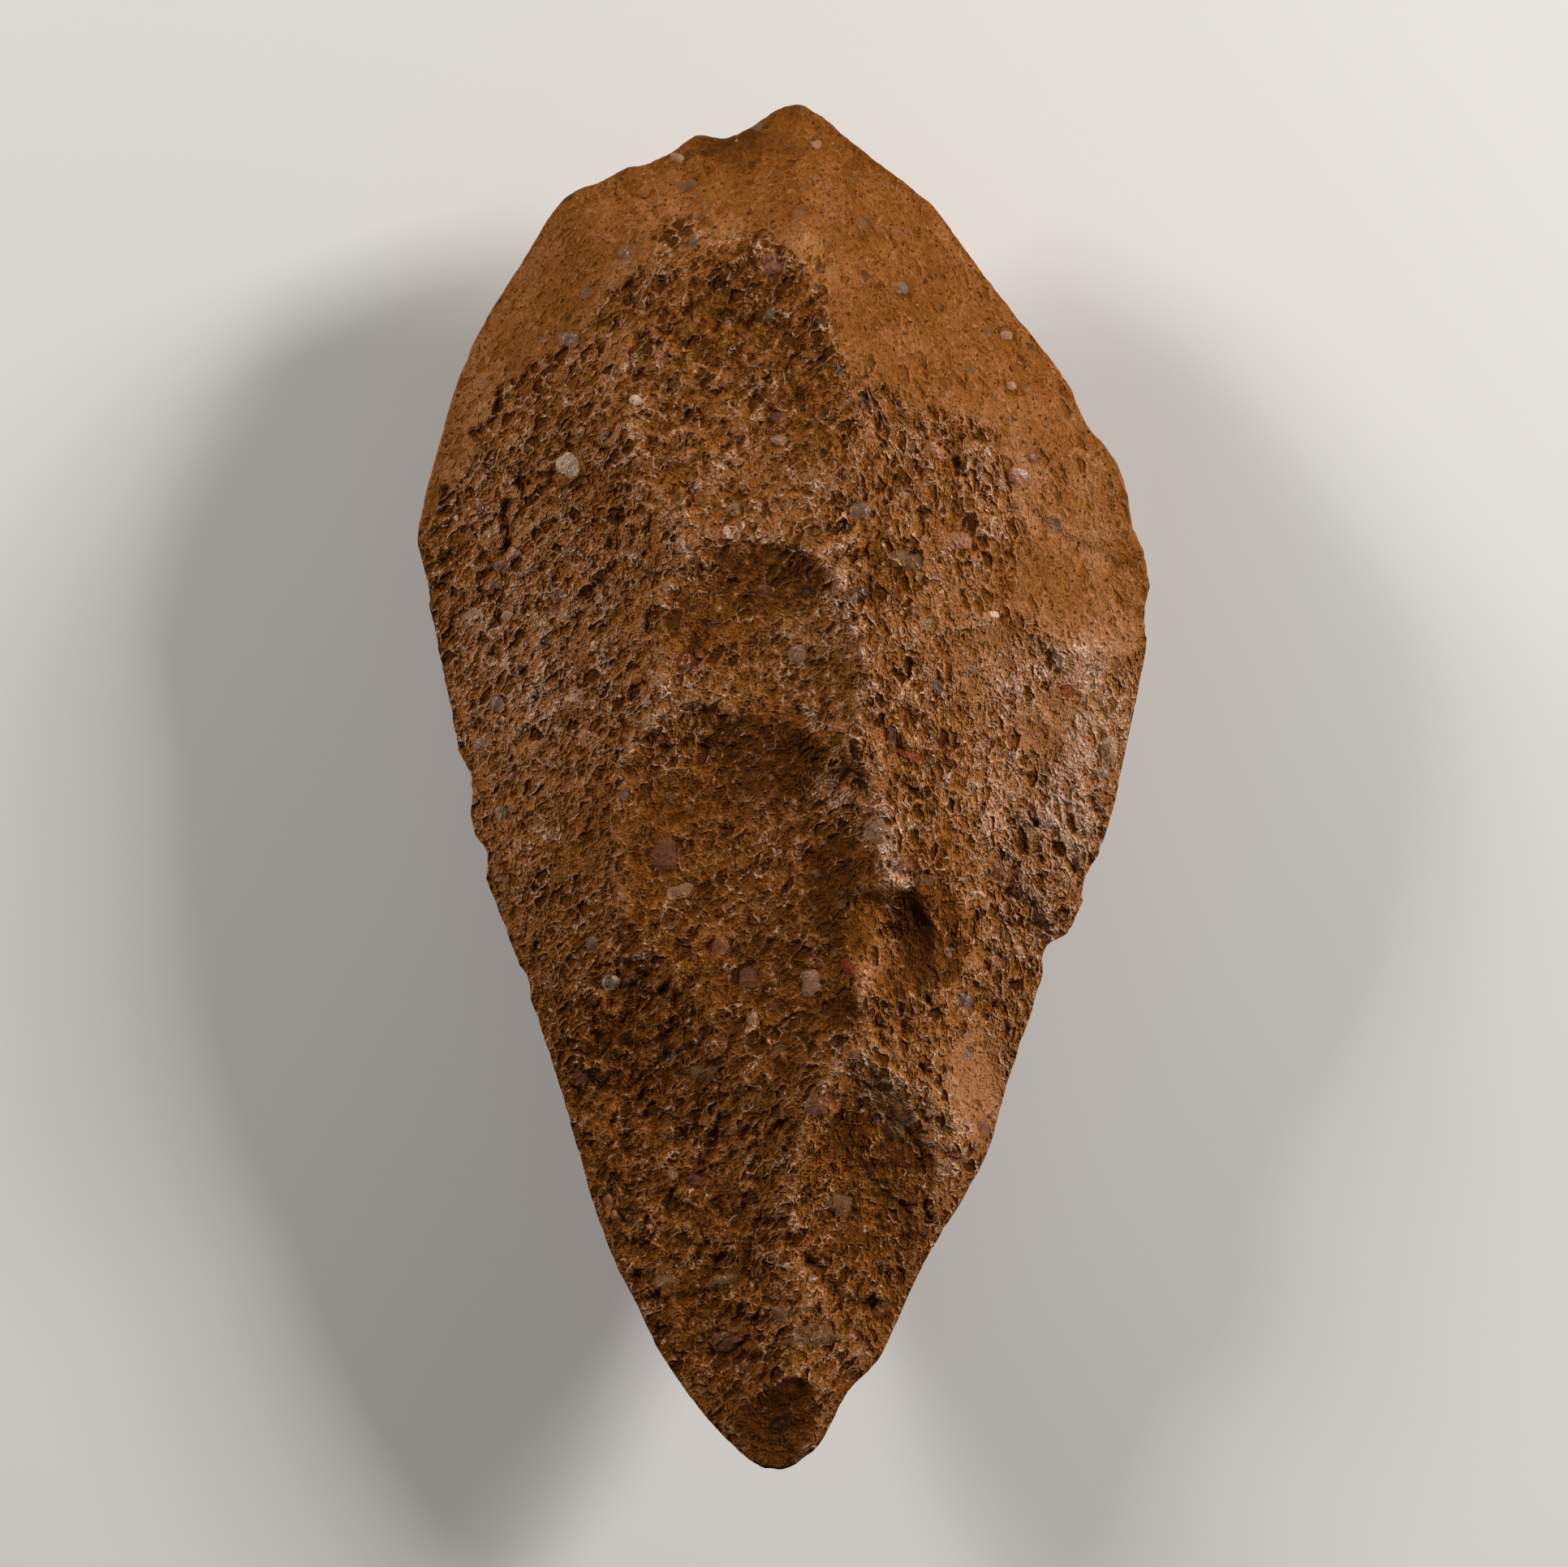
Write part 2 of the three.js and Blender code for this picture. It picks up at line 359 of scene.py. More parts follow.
class Tone(Enum):
    """Colours of the pebbles and grains in the stone."""

    MILK = linear(200, 174, 144)
    CREAM = linear(156, 118, 88)
    GREY = linear(112, 90, 74)
    BLUE_GREY = linear(92, 80, 74)
    MAUVE = linear(108, 66, 50)
    RED = linear(124, 48, 22)
    RED_BROWN = linear(78, 34, 14)
    OLIVE = linear(104, 74, 46)
    PINK = linear(142, 90, 62)
    BLACK = linear(34, 22, 14)


@dataclass(frozen=True)
class Pebble:
    """A pebble broken through by the flaking: its place and size in mm, and its colour."""

    x: float
    y: float
    length: float
    height: float
    tone: Tone


OUTLINE = (
    (1.5, 90.2), (-6.6, 86), (-12.6, 85.8), (-22.5, 80.8), (-29, 77.6), (-33.5, 70.8), (-41.2, 57.9),
    (-45.6, 44.4), (-48.2, 32.6), (-46.3, 22.3), (-44.1, 11.8), (-41, -4.1), (-38.9, -12.3),
    (-35, -22.5), (-29.6, -38.5), (-24, -57.7), (-17.9, -71.6), (-9.9, -83.4), (-2.1, -90.1),
    (4.2, -87.6), (8.6, -80), (13, -75.2), (16.8, -66.8), (19.8, -61), (26.6, -49.4), (29.9, -38.5),
    (34, -26), (34.6, -21.4), (38.6, -17.6), (43.3, -3.4), (45.3, 5.9), (47.9, 19), (48.2, 27.6),
    (44.6, 41.5), (41.2, 46.8), (37, 54.2), (32.4, 60.2), (26.8, 67.3), (18, 78.8), (8.2, 86.2),
)

EDGE_CHIPS = (
    Chip(25.5, 3.2, 0.8), Chip(37, 3.5, 0.6), Chip(50.5, 3, 0.5), Chip(80.5, 4.5, 0.7),
    Chip(100.8, 3.2, 1), Chip(149.6, 3, 0.8), Chip(179, 5.5, 0.9), Chip(193, 4, 0.85),
    Chip(217, 3, 0.55), Chip(254, 3, 0.5), Chip(343.5, 4.5, 0.8),
)

# The scars' tones are partly patina, and on the dark scoops and recesses partly painted shade.
# x, y, height, facing, slope, strike, ahead, behind, half width, bow, step, grain, tone
FRONT_SCARS = (
    Scar(-32, 60, 5.5, 153, 39, -30, 12, 14, 22, 0.5, 0, 0.55, 0.2),
    Scar(-10, 79, 4.6, 106, 37, -75, 12, 14, 22, 0.5, 0, 0.3, 0.3),
    Scar(26, 60, 3.9, 38, 34.5, 218, 18, 20, 32, 0.5, 0, 0.3, 0.4),
    Scar(-5, 55, 13.8, 140, 12, 110, 24, 24, 19, 1, 0, 0.95, -0.1),
    Scar(-5, 38, 16, 100, 5, 90, 14, 20, 16, 0.9, 0, 0.5, 0.0),
    Scar(-4.5, 24, 14.3, 268, 8, 88, 8, 24, 9, 1, 0.8, 0.5, -0.15),
    Scar(-6, 2, 10.5, 262, 9, 86, 8, 24, 10, 0.9, 0.8, 0.55, -0.25),
    Scar(6.5, -7.5, 11.2, 226, 24, 80, 7, 7, 7, 1.3, 1.2, 0.5, -0.35),
    Scar(-23.6, 51.3, 13.2, 155, 34.7, -30, 30, 30, 40, 0.3, 0, 0.9, 0.0),
    Scar(18.5, -18.5, 6.8, 235, 14, 62, 5.5, 6.5, 4.8, 1.6, 1.6, 0.4, -0.35),
    Scar(-29, 20, 8.1, 183, 26, 4, 24, 30, 40, 1, 0, 1.0, 0.1),
    Scar(-20, -25, 6.2, 238, 21, 55, 14, 18, 16.5, 1, 0.7, 0.9, -0.2),
    Scar(-15, -43, 4.6, 215, 25, 25, 14, 20, 9, 0.9, 0.5, 0.9, -0.2),
    Scar(-11, -58, 4, 215, 27, 35, 13, 20, 8, 0.8, 0.3, 0.8, -0.1),
    Scar(-8, -71, 3, 210, 28, 30, 10, 16, 8, 0.7, 0.3, 0.7, -0.1),
    Scar(18, 38, 12.3, 3, 19, 185, 18, 30, 20, 0.9, 0.2, 1.0, 0.1),
    Scar(38, 33, 4.3, 6, 28, 185, 12, 14, 28, 0.4, 0, 0.3, 0.3),
    Scar(24, 2, 8.3, 352, 23, 120, 17, 26, 16, 0.7, 0.3, 1.0, 0.15),
    Scar(31, -23, 2.2, 330, 28, 150, 8, 14, 6, 0.8, 0.9, 0.9, 0.0),
    Scar(17, -33, 6.8, 350, 20, 165, 12, 20, 12, 0.8, 0.6, 1.0, 0.1),
    Scar(25, -39, 2.4, 2, 33, 180, 7, 10, 9, 0.3, 0, 0.7, 0.3),
    Scar(16, -54, 3.6, 300, 22, 140, 10, 14, 9, 0.8, 0.8, 0.8, -0.1),
    Scar(10, -44, 6.6, 262, 12, 90, 2.6, 2.6, 5, 0.9, 1.6, 0.7, -0.5),
    Scar(14, -48, 5, 240, 15, 60, 4.5, 5, 5, 1, 1.2, 0.5, -0.5),
    Scar(1, -62, 5.2, 10, 22, 235, 10, 6.5, 6, 0.5, 0.2, 0.5, 0.3),
    Scar(9, -73, 2.6, 335, 26, 150, 10, 14, 7, 0.5, 0.3, 0.6, 0.1),
    Scar(-1.5, -82, 1.9, 268, 16, 90, 5, 9, 8, 0.9, 1.5, 0.35, -0.6),
)

BACK_SCARS = (
    Scar(4, 74, 9.3, 84, 36, -92, 16, 16, 40, 0.8, 0, 0.3, 0.3),
    Scar(-34, 50, 6.9, 146, 37, -30, 18, 18, 20, 0.8, 0, 0.6, 0.2),
    Scar(-36, 15, 5.9, 183, 38, 5, 20, 20, 20, 0.9, 0, 0.8, 0.1),
    Scar(-27, -23, 4.9, 200, 36, 25, 16, 16, 17, 0.9, 0.3, 0.8, -0.1),
    Scar(-16, -53, 6.5, 206, 35, 30, 13, 13, 13, 0.8, 0.3, 0.7, -0.1),
    Scar(35, 46, 3.8, 24, 37, 205, 18, 18, 22, 0.8, 0, 0.3, 0.3),
    Scar(38, 10, 5.4, 355, 38, 175, 19, 19, 18, 0.9, 0.3, 0.8, 0.1),
    Scar(25, -25, 6.2, 338, 37, 160, 16, 16, 15, 0.9, 0.3, 0.7, 0.0),
    Scar(14, -55, 5.7, 336, 35, 155, 12, 12, 14, 0.8, 0.3, 0.7, -0.1),
    Scar(-1, -79, 6.4, 272, 31, 90, 10, 10, 12, 0.6, 0, 0.5, -0.2),
)

# Lower border of the smooth fields round the butt and down the right edge, from left to right.
SMOOTH_BORDER = (
    (-48, 31), (-37, 52), (-24, 61), (-17.6, 68.4), (-15.5, 73.8), (-1.6, 71.6), (4.8, 65.2),
    (8.6, 53.4), (15.5, 48.6), (27, 48.2), (30, 37), (38, 33), (48, 27),
)

# Bearings that the broken grain runs along, on the left and on the right of the face.
STREAKS = (48, 108)

# Patches of patina and painted light and shade, set for these lamps: the crisp dark ones are painted shade
# in the scoops and recesses, the pale ones on ridges and flanks are painted light, and others change the
# patina's own tone and grain.
PATINA_AND_SHADING_PATCHES = (
    PatinaAndShadingPatch(-2.8, 26.5, 8, 5, -0.65, -0.1, crisp=True),
    PatinaAndShadingPatch(-3, 3.5, 8.5, 6, -0.9, -0.1, crisp=True),
    PatinaAndShadingPatch(7.6, -14.5, 5.1, 8.5, -1.1, -0.15, crisp=True),
    PatinaAndShadingPatch(19.2, -19.5, 4.8, 7.6, -1.4, -0.1, crisp=True),
    PatinaAndShadingPatch(8.6, -45, 3.6, 3.2, -1.3, crisp=True),
    PatinaAndShadingPatch(15, -51, 5, 5, -0.9, crisp=True),
    PatinaAndShadingPatch(7.9, -29, 2.2, 2.8, -1.5, crisp=True),
    PatinaAndShadingPatch(6, -54, 5, 12, -0.6),
    PatinaAndShadingPatch(6.5, 0, 3.5, 5, 1.2),
    PatinaAndShadingPatch(34, 22, 20, 30, 0.1, -0.45),
    PatinaAndShadingPatch(42, 9, 5, 9, 0.8),
    PatinaAndShadingPatch(-26, -32, 14, 12, -0.3),
    PatinaAndShadingPatch(-12, -52, 22, 34, -0.3),
    PatinaAndShadingPatch(13, -56, 7, 9, -0.6),
    PatinaAndShadingPatch(12, -64, 8, 7, -0.4),
    PatinaAndShadingPatch(-1, -84, 6, 5, -1.0),
    PatinaAndShadingPatch(2, -24, 12, 12, -0.4),
    PatinaAndShadingPatch(-2, 60, 10, 8, -0.5),
    PatinaAndShadingPatch(-12, 62, 8, 8, -0.3),
    PatinaAndShadingPatch(22, 20, 14, 10, 0.1, -0.3),
    PatinaAndShadingPatch(-1, -62, 4, 14, 0.4, -0.1),
    PatinaAndShadingPatch(0, -77, 14, 5, -0.4),
    PatinaAndShadingPatch(5, 79, 15, 9, -0.2),
    PatinaAndShadingPatch(22, 56, 18, 14, -0.15),
    PatinaAndShadingPatch(12, -20, 3, 8, 1.2),
    PatinaAndShadingPatch(32, -8, 12, 14, 0.5),
    PatinaAndShadingPatch(25.5, -39, 5.5, 10, 0.5, -0.5),
    PatinaAndShadingPatch(-16, -8, 12, 12, -0.3, -0.2),
    PatinaAndShadingPatch(-34, 14, 12, 26, 0.45),
    PatinaAndShadingPatch(8, 27, 2.8, 11, 0.7),
    PatinaAndShadingPatch(12.5, -7, 4, 7, 0.75),
    PatinaAndShadingPatch(3, 20, 6, 6, 0.5),
    PatinaAndShadingPatch(-40, 46, 8, 14, 0.3),
    PatinaAndShadingPatch(-27, 18, 13, 16, 0.3),
    PatinaAndShadingPatch(42, 38, 6, 9, 0.3),
    PatinaAndShadingPatch(34, 6, 14, 17, 0.25),
    PatinaAndShadingPatch(38, -3, 5, 8, 0.5),
    PatinaAndShadingPatch(33, 26, 9, 8, -0.4),
    PatinaAndShadingPatch(28, 41, 9, 4, 0.6),
    PatinaAndShadingPatch(36, 17, 5, 4, 0.5),
    PatinaAndShadingPatch(-5, -46, 4, 8, 0.4),
    PatinaAndShadingPatch(31, 15, 5, 6, 0.5),
    PatinaAndShadingPatch(3, 48, 7, 7, -0.6),
    PatinaAndShadingPatch(13, 25, 5, 8, -0.6),
    PatinaAndShadingPatch(21, -9, 7, 4, -0.6),
    PatinaAndShadingPatch(18, -28, 7, 6, -0.4),
    PatinaAndShadingPatch(-12, 6, 5, 6, 0.4),
    PatinaAndShadingPatch(7, 33, 4, 6, -0.4),
    PatinaAndShadingPatch(-5, 32, 7, 3, 0.3),
    PatinaAndShadingPatch(-12, 21, 4, 6, -0.6),
    PatinaAndShadingPatch(18, 12, 4, 4, 0.7),
    PatinaAndShadingPatch(-6, 84, 5, 4, -0.8),
    PatinaAndShadingPatch(-12, -1, 5, 4, -0.5),
    PatinaAndShadingPatch(-11, -67, 5, 4, -0.7),
)

GROOVES = (
    Groove((0.5, -58.8), (3.6, -62.5), 1.3, 0.4),
    Groove((3.6, -62.5), (6.8, -66.3), 1.5, 0.6),
    Groove((6.8, -66.3), (11.8, -68.8), 1.3, 0.5),
    Groove((-36, 37), (-36.2, 31.6), 0.8, 1.1),
    Groove((-36.2, 31.6), (-36.6, 25.8), 0.6, 0.9),
    Groove((-36.6, 25.8), (-37.7, 21.1), 0.5, 0.7),
)

PEBBLES = (
    Pebble(-28, 42, 3.4, 3, Tone.MILK),
    Pebble(-19, 50, 1.7, 1.5, Tone.MILK),
    Pebble(-14, 83, 2.1, 1.3, Tone.CREAM),
    Pebble(-12.5, 79, 2.6, 1.5, Tone.OLIVE),
    Pebble(-28, 58.5, 2.7, 2.1, Tone.GREY),
    Pebble(-20.5, 70, 2.7, 2.1, Tone.MAUVE),
    Pebble(-1.5, 67.5, 2.7, 3.2, Tone.MAUVE),
    Pebble(-1.5, 61, 1.6, 2.7, Tone.BLUE_GREY),
    Pebble(-0.5, 47.5, 2.1, 1.6, Tone.MAUVE),
    Pebble(-0.5, 44.5, 2.1, 1.3, Tone.CREAM),
    Pebble(4.5, 84.5, 1.5, 1.3, Tone.CREAM),
    Pebble(2, 74.5, 1.7, 1.5, Tone.OLIVE),
    Pebble(15.5, 65, 2.1, 1.7, Tone.GREY),
    Pebble(29.5, 59.5, 1.7, 1.3, Tone.CREAM),
    Pebble(30, 52.5, 1.5, 1.3, Tone.CREAM),
    Pebble(31, 40.5, 3.2, 2.7, Tone.PINK),
    Pebble(32.5, 43, 1.5, 1.5, Tone.RED_BROWN),
    Pebble(10, 35.5, 2.7, 2.1, Tone.GREY),
    Pebble(15, 29.5, 2.7, 2.4, Tone.OLIVE),
    Pebble(17, 29, 2.4, 2.6, Tone.OLIVE),
    Pebble(23, 32, 3.2, 2.7, Tone.PINK),
    Pebble(9.5, 24.5, 3.2, 2.1, Tone.BLACK),
    Pebble(17, 22.5, 1.7, 1.3, Tone.RED_BROWN),
    Pebble(27.5, 22.5, 1.9, 0.9, Tone.MILK),
    Pebble(-43, 35.5, 0.9, 0.9, Tone.MILK),
    Pebble(-37, 29, 1.9, 1.9, Tone.GREY),
    Pebble(-29.5, 25, 2.1, 1.9, Tone.MAUVE),
    Pebble(-30, 23, 2.1, 1.5, Tone.RED_BROWN),
    Pebble(-41, 22.5, 2.1, 2.7, Tone.CREAM),
    Pebble(-36, 22.5, 1.6, 1.5, Tone.CREAM),
    Pebble(-27.5, 30.5, 2.1, 1.5, Tone.OLIVE),
    Pebble(-12.5, 16, 2.4, 3, Tone.RED_BROWN),
    Pebble(2, 17, 3, 2.8, Tone.CREAM),
    Pebble(-2.5, 25.5, 2.1, 1.7, Tone.MAUVE),
    Pebble(3, 25, 1.5, 1.3, Tone.BLACK),
    Pebble(-37.5, 11, 1.7, 2.4, Tone.GREY),
    Pebble(-40, 5.5, 2.1, 1.9, Tone.GREY),
    Pebble(-37, -3.5, 1.7, 2.1, Tone.GREY),
    Pebble(-20.5, -1, 1.3, 1.1, Tone.BLUE_GREY),
    Pebble(37, 12.5, 1.9, 1.7, Tone.RED),
    Pebble(20, 13, 1.5, 2.1, Tone.GREY),
    Pebble(16.5, 4, 3, 1.3, Tone.RED),
    Pebble(14, 6.5, 1.3, 3.2, Tone.MAUVE),
    Pebble(43, 5, 2.7, 3.7, Tone.CREAM),
    Pebble(42, 2, 2.1, 1.5, Tone.GREY),
    Pebble(12, -5.5, 3.4, 3.2, Tone.CREAM),
    Pebble(15.5, -10, 3.7, 2.8, Tone.RED_BROWN),
    Pebble(18.5, -12, 3.2, 1.5, Tone.OLIVE),
    Pebble(28, -11, 1.7, 3, Tone.MAUVE),
    Pebble(31, -13.5, 3, 2.4, Tone.RED_BROWN),
    Pebble(-13.5, -13.5, 3.4, 2.1, Tone.CREAM),
    Pebble(-15.5, -9, 3.4, 4.3, Tone.MAUVE),
    Pebble(-25, -20.5, 1.3, 2.4, Tone.BLUE_GREY),
    Pebble(-18, -23.5, 2.7, 1.6, Tone.RED_BROWN),
    Pebble(-22.5, -25.5, 2.4, 2.1, Tone.MILK),
    Pebble(-4.5, -25, 2.4, 3.2, Tone.MAUVE),
    Pebble(3.5, -25.5, 2.7, 3.2, Tone.CREAM),
    Pebble(-8, -20.5, 2.7, 2.4, Tone.PINK),
    Pebble(-4, -30, 1.9, 1.7, Tone.CREAM),
    Pebble(-10, -37.5, 4.1, 2.4, Tone.OLIVE),
    Pebble(24, -28, 2.4, 2.1, Tone.BLUE_GREY),
    Pebble(8.5, -23.5, 1.6, 3.2, Tone.RED),
    Pebble(31, -21.5, 1.5, 1.3, Tone.CREAM),
    Pebble(4.5, -41.5, 3.2, 2.7, Tone.MAUVE),
    Pebble(14.5, -45, 3.2, 2.7, Tone.OLIVE),
    Pebble(15, -48.5, 4.8, 3.2, Tone.RED_BROWN),
    Pebble(26.5, -45, 1.9, 2.7, Tone.MAUVE),
    Pebble(-26.5, -38.5, 1.7, 2.4, Tone.MAUVE),
    Pebble(-23, -54.5, 1.5, 1.9, Tone.PINK),
    Pebble(-11.5, -51.5, 1.9, 1.7, Tone.MAUVE),
    Pebble(7.5, -55, 3.4, 3, Tone.OLIVE),
    Pebble(-7.5, -65, 4.8, 1.9, Tone.OLIVE),
    Pebble(-15.5, -65, 3, 1.9, Tone.OLIVE),
    Pebble(-0.5, -69, 2.1, 1.9, Tone.OLIVE),
    Pebble(-3, -64, 1.3, 2.1, Tone.RED_BROWN),
    Pebble(4, -64.5, 1.1, 1.1, Tone.BLUE_GREY),
    Pebble(4, -72, 5.9, 3.2, Tone.OLIVE),
    Pebble(-8, -73, 3, 3.2, Tone.MAUVE),
    Pebble(9, -72.5, 1.7, 1.5, Tone.PINK),
    Pebble(13, -69, 3.2, 2.4, Tone.RED_BROWN),
    Pebble(-0.5, -84, 2.1, 3.2, Tone.BLACK),
)


class Outline:
    """The worked edge in plan: a smooth ring through the outline's points, with its chips."""

    STEPS = 8
    NIBBLE_SIZE = 3.2
    NIBBLE_DEPTH = 0.42
    NIBBLE_CREST = 0.12

    def __init__(self, noise: Noise) -> None:
        """Works the ring out once."""
        self.noise = noise
        self.ring = self.spline(np.array(OUTLINE, float))
        bearing = np.arctan2(self.ring[:, 1], self.ring[:, 0])
        order = np.argsort(bearing)
        self.bearings = bearing[order]
        self.radii = np.hypot(self.ring[:, 0], self.ring[:, 1])[order]

    def spline(self, points: Array) -> Array:
        """Closed curve through the points: each stretch is the cubic whose slope at a point is
        half the step between that point's neighbours.

        Args:
            points: The outline's points, in mm.

        Returns:
            The ring's points, in mm.
        """
        t = np.linspace(0, 1, self.STEPS, endpoint=False)[None, :, None]
        a, b, c, d = (np.roll(points, shift, axis=0)[:, None] for shift in (1, 0, -1, -2))
        cubic = 2 * b + (c - a) * t + (2 * a - 5 * b + 4 * c - d) * t**2
        return (0.5 * (cubic + (3 * b - 3 * c + d - a) * t**3)).reshape(-1, 2)

    def radius(self, bearing: Array) -> Array:
        """Distance from the middle to the edge, less its chips and its small nibbles.

        Args:
            bearing: Bearings, in radians.

        Returns:
            Distances, in mm.
        """
        found = np.interp(bearing, self.bearings, self.radii, period=2 * math.pi)
        for chip in EDGE_CHIPS:
            turned = (np.degrees(bearing) - chip.bearing + 180) % 360 - 180
            found -= chip.depth * np.maximum(0, 1 - (turned / chip.half_width) ** 2)
        x, y = (found * turn(bearing) / self.NIBBLE_SIZE for turn in (np.cos, np.sin))
        nibble = self.noise.layered(x, y, Layer.NIBBLE, 4, 0.6)
        return found + self.NIBBLE_DEPTH * np.minimum(nibble, self.NIBBLE_CREST)

    def distance(self, x: Array, y: Array) -> Array:
        """Least distance to the ring, over its straight stretches.

        Args:
            x: Places, in mm.
            y: Places, in mm.

        Returns:
            Distances, in mm.
        """
        least = np.full_like(x, np.inf)
        for p, q in zip(self.ring, np.roll(self.ring, -1, axis=0)):
            dx, dy = q - p
            t = np.clip(((x - p[0]) * dx + (y - p[1]) * dy) / (dx * dx + dy * dy), 0, 1)
            least = np.minimum(least, (x - p[0] - t * dx) ** 2 + (y - p[1] - t * dy) ** 2)
        return np.sqrt(least)


@dataclass
class Surface:
    """What is known at each point of a worked face."""

    height: Array
    grain: Array
    tone: Array
    side: Array


@dataclass
class WorkedFace:
    """One worked face, as the lower envelope of its lens and its scars.

    `rise` and `fall_off` shape the lens, and `crest_offset` is how far its crest leans to the
    right. The smooth fields lie over the `border`, a little proud of the rest.
    """

    CREST_INSET: ClassVar[float] = 22.0
    POINT_FADE: ClassVar[tuple[float, float]] = (-92.0, -32.0)
    BUTT_FADE: ClassVar[tuple[float, float]] = (66.0, 96.0)
    SOFT_STEPS: ClassVar[int] = 90
    OWN_GRAIN: ClassVar[float] = 0.6
    BORDER_BLEND: ClassVar[tuple[float, float]] = (-0.5, 0.7)
    DROP_REACH: ClassVar[float] = 7.0
    SIDE_BLEND: ClassVar[tuple[float, float]] = (4.0, 16.0)
    PATCH_JAG: ClassVar[float] = 1.3

    outline: Outline
    scars: tuple[Scar, ...]
    rise: float
    fall_off: float
    crest_offset: float
    patches: tuple[PatinaAndShadingPatch, ...] = ()
    border: tuple[tuple[float, float], ...] = ()
    ridge_rounding: float = 0.5
    ridge_blend: float = 0.35
    edge_wedge: float = 0.30
    edge_reach: float = 30.0
    border_drop: float = 0.45
    jag: float = 0.9
    smooth_grain: float = 0.19
    smooth_tone: float = -0.15

    def lens(self, x: Array, y: Array) -> Array:
        """Height of the plain lens: rise times the edge distance, less fall-off times its square,
        at a place moved aside so that the crest leans.

        Args:
            x: Places, in mm.
            y: Places, in mm.

        Returns:
            Heights over the edge, in mm.
        """
        inner = np.clip(self.outline.distance(x, y) / self.CREST_INSET, 0, 1)
        ends = np.interp(y, self.POINT_FADE, (0, 1)) * np.interp(y, self.BUTT_FADE, (1, 0))
        distance = self.outline.distance(x - self.crest_offset * inner * ends, y)
        return self.rise * distance - self.fall_off * distance**2

    def border_gap(self, x: Array, y: Array) -> Array:
        """How far above the border of the smooth fields each place is, in mm. The border wanders
        by layered noise, and the rise over it is divided by √(1 + slope²).

        Args:
            x: Places, in mm.
            y: Places, in mm.

        Returns:
            Gaps, in mm: over 0 in the smooth fields.
        """
        noise = self.outline.noise
        across = x + 2.6 * noise.layered(x / 5, y / 5, Layer.BORDER_ACROSS, 4, 0.6)
        along = y + 2.2 * noise.layered(x / 4.5, y / 4.5, Layer.BORDER_ALONG, 4, 0.6)
        border_x, border_y = np.array(self.border, float).T
        slopes = np.diff(border_y) / np.diff(border_x)
        piece = np.clip(np.searchsorted(border_x, across) - 1, 0, len(slopes) - 1)
        return (along - np.interp(across, border_x, border_y)) / np.sqrt(1 + slopes[piece] ** 2)

    def surface(self, x: Array, y: Array) -> Surface:
        """Takes each scar in turn: the lower height wins, with a rounded ridge, and brings its
        grain and tone along. Then come the smooth fields over the border, and the patches, which add
        patina and painted light and shade.

        Args:
            x: Places, in mm.
            y: Places, in mm.

        Returns:
            The heights over the edge, with the grain and tone of the patina and the side of the
            face that each place is on. The tone is partly painted light and shade from the scars and
            patches.
        """
        height = self.lens(x, y)
        grain, tone = np.full_like(x, self.OWN_GRAIN), np.zeros_like(x)
        noise = self.outline.noise
        jag = tuple(
            self.jag * noise.layered(x / 4, y / 4, layer, 3, 0.6)
            for layer in (Layer.JAG_ACROSS, Layer.JAG_ALONG)
        )
        for scar in self.scars:
            bowl = scar.bowl(x, y, jag)
            share = ease(-self.ridge_blend, self.ridge_blend, height - bowl)
            grain += share * (scar.grain - grain)
            tone += share * (scar.tone - tone)
            near = np.maximum(self.ridge_rounding - np.abs(height - bowl), 0) / self.ridge_rounding
            height = np.minimum(height, bowl) - near**2 * self.ridge_rounding / 4
        if self.border:
            gap = self.border_gap(x, y)
            smooth = ease(*self.BORDER_BLEND, gap)
            height = height + smooth * (soften(height, self.SOFT_STEPS) - height)
            drop = self.border_drop * np.exp(np.minimum(gap, 0) / self.DROP_REACH)
            height = height - (1 - smooth) * drop
            grain += smooth * (self.smooth_grain - grain)
            tone += smooth * (self.smooth_tone - tone)
        # The patches add patina tone and painted light and shade.
        for patch in self.patches:
            share = patch.share(x + self.PATCH_JAG * jag[0], y + self.PATCH_JAG * jag[1])
            grain = np.clip(grain + share * patch.grain, self.smooth_grain, 1)
            tone = tone + share * patch.tone
        distance = self.outline.distance(x, y)
        wedge = self.edge_wedge * distance * np.exp(-distance / self.edge_reach)
        side = ease(*self.SIDE_BLEND, x + 4 * noise.smooth(x / 9, y / 9, Layer.SIDE))
        return Surface(np.maximum(height, wedge), grain, tone, side)


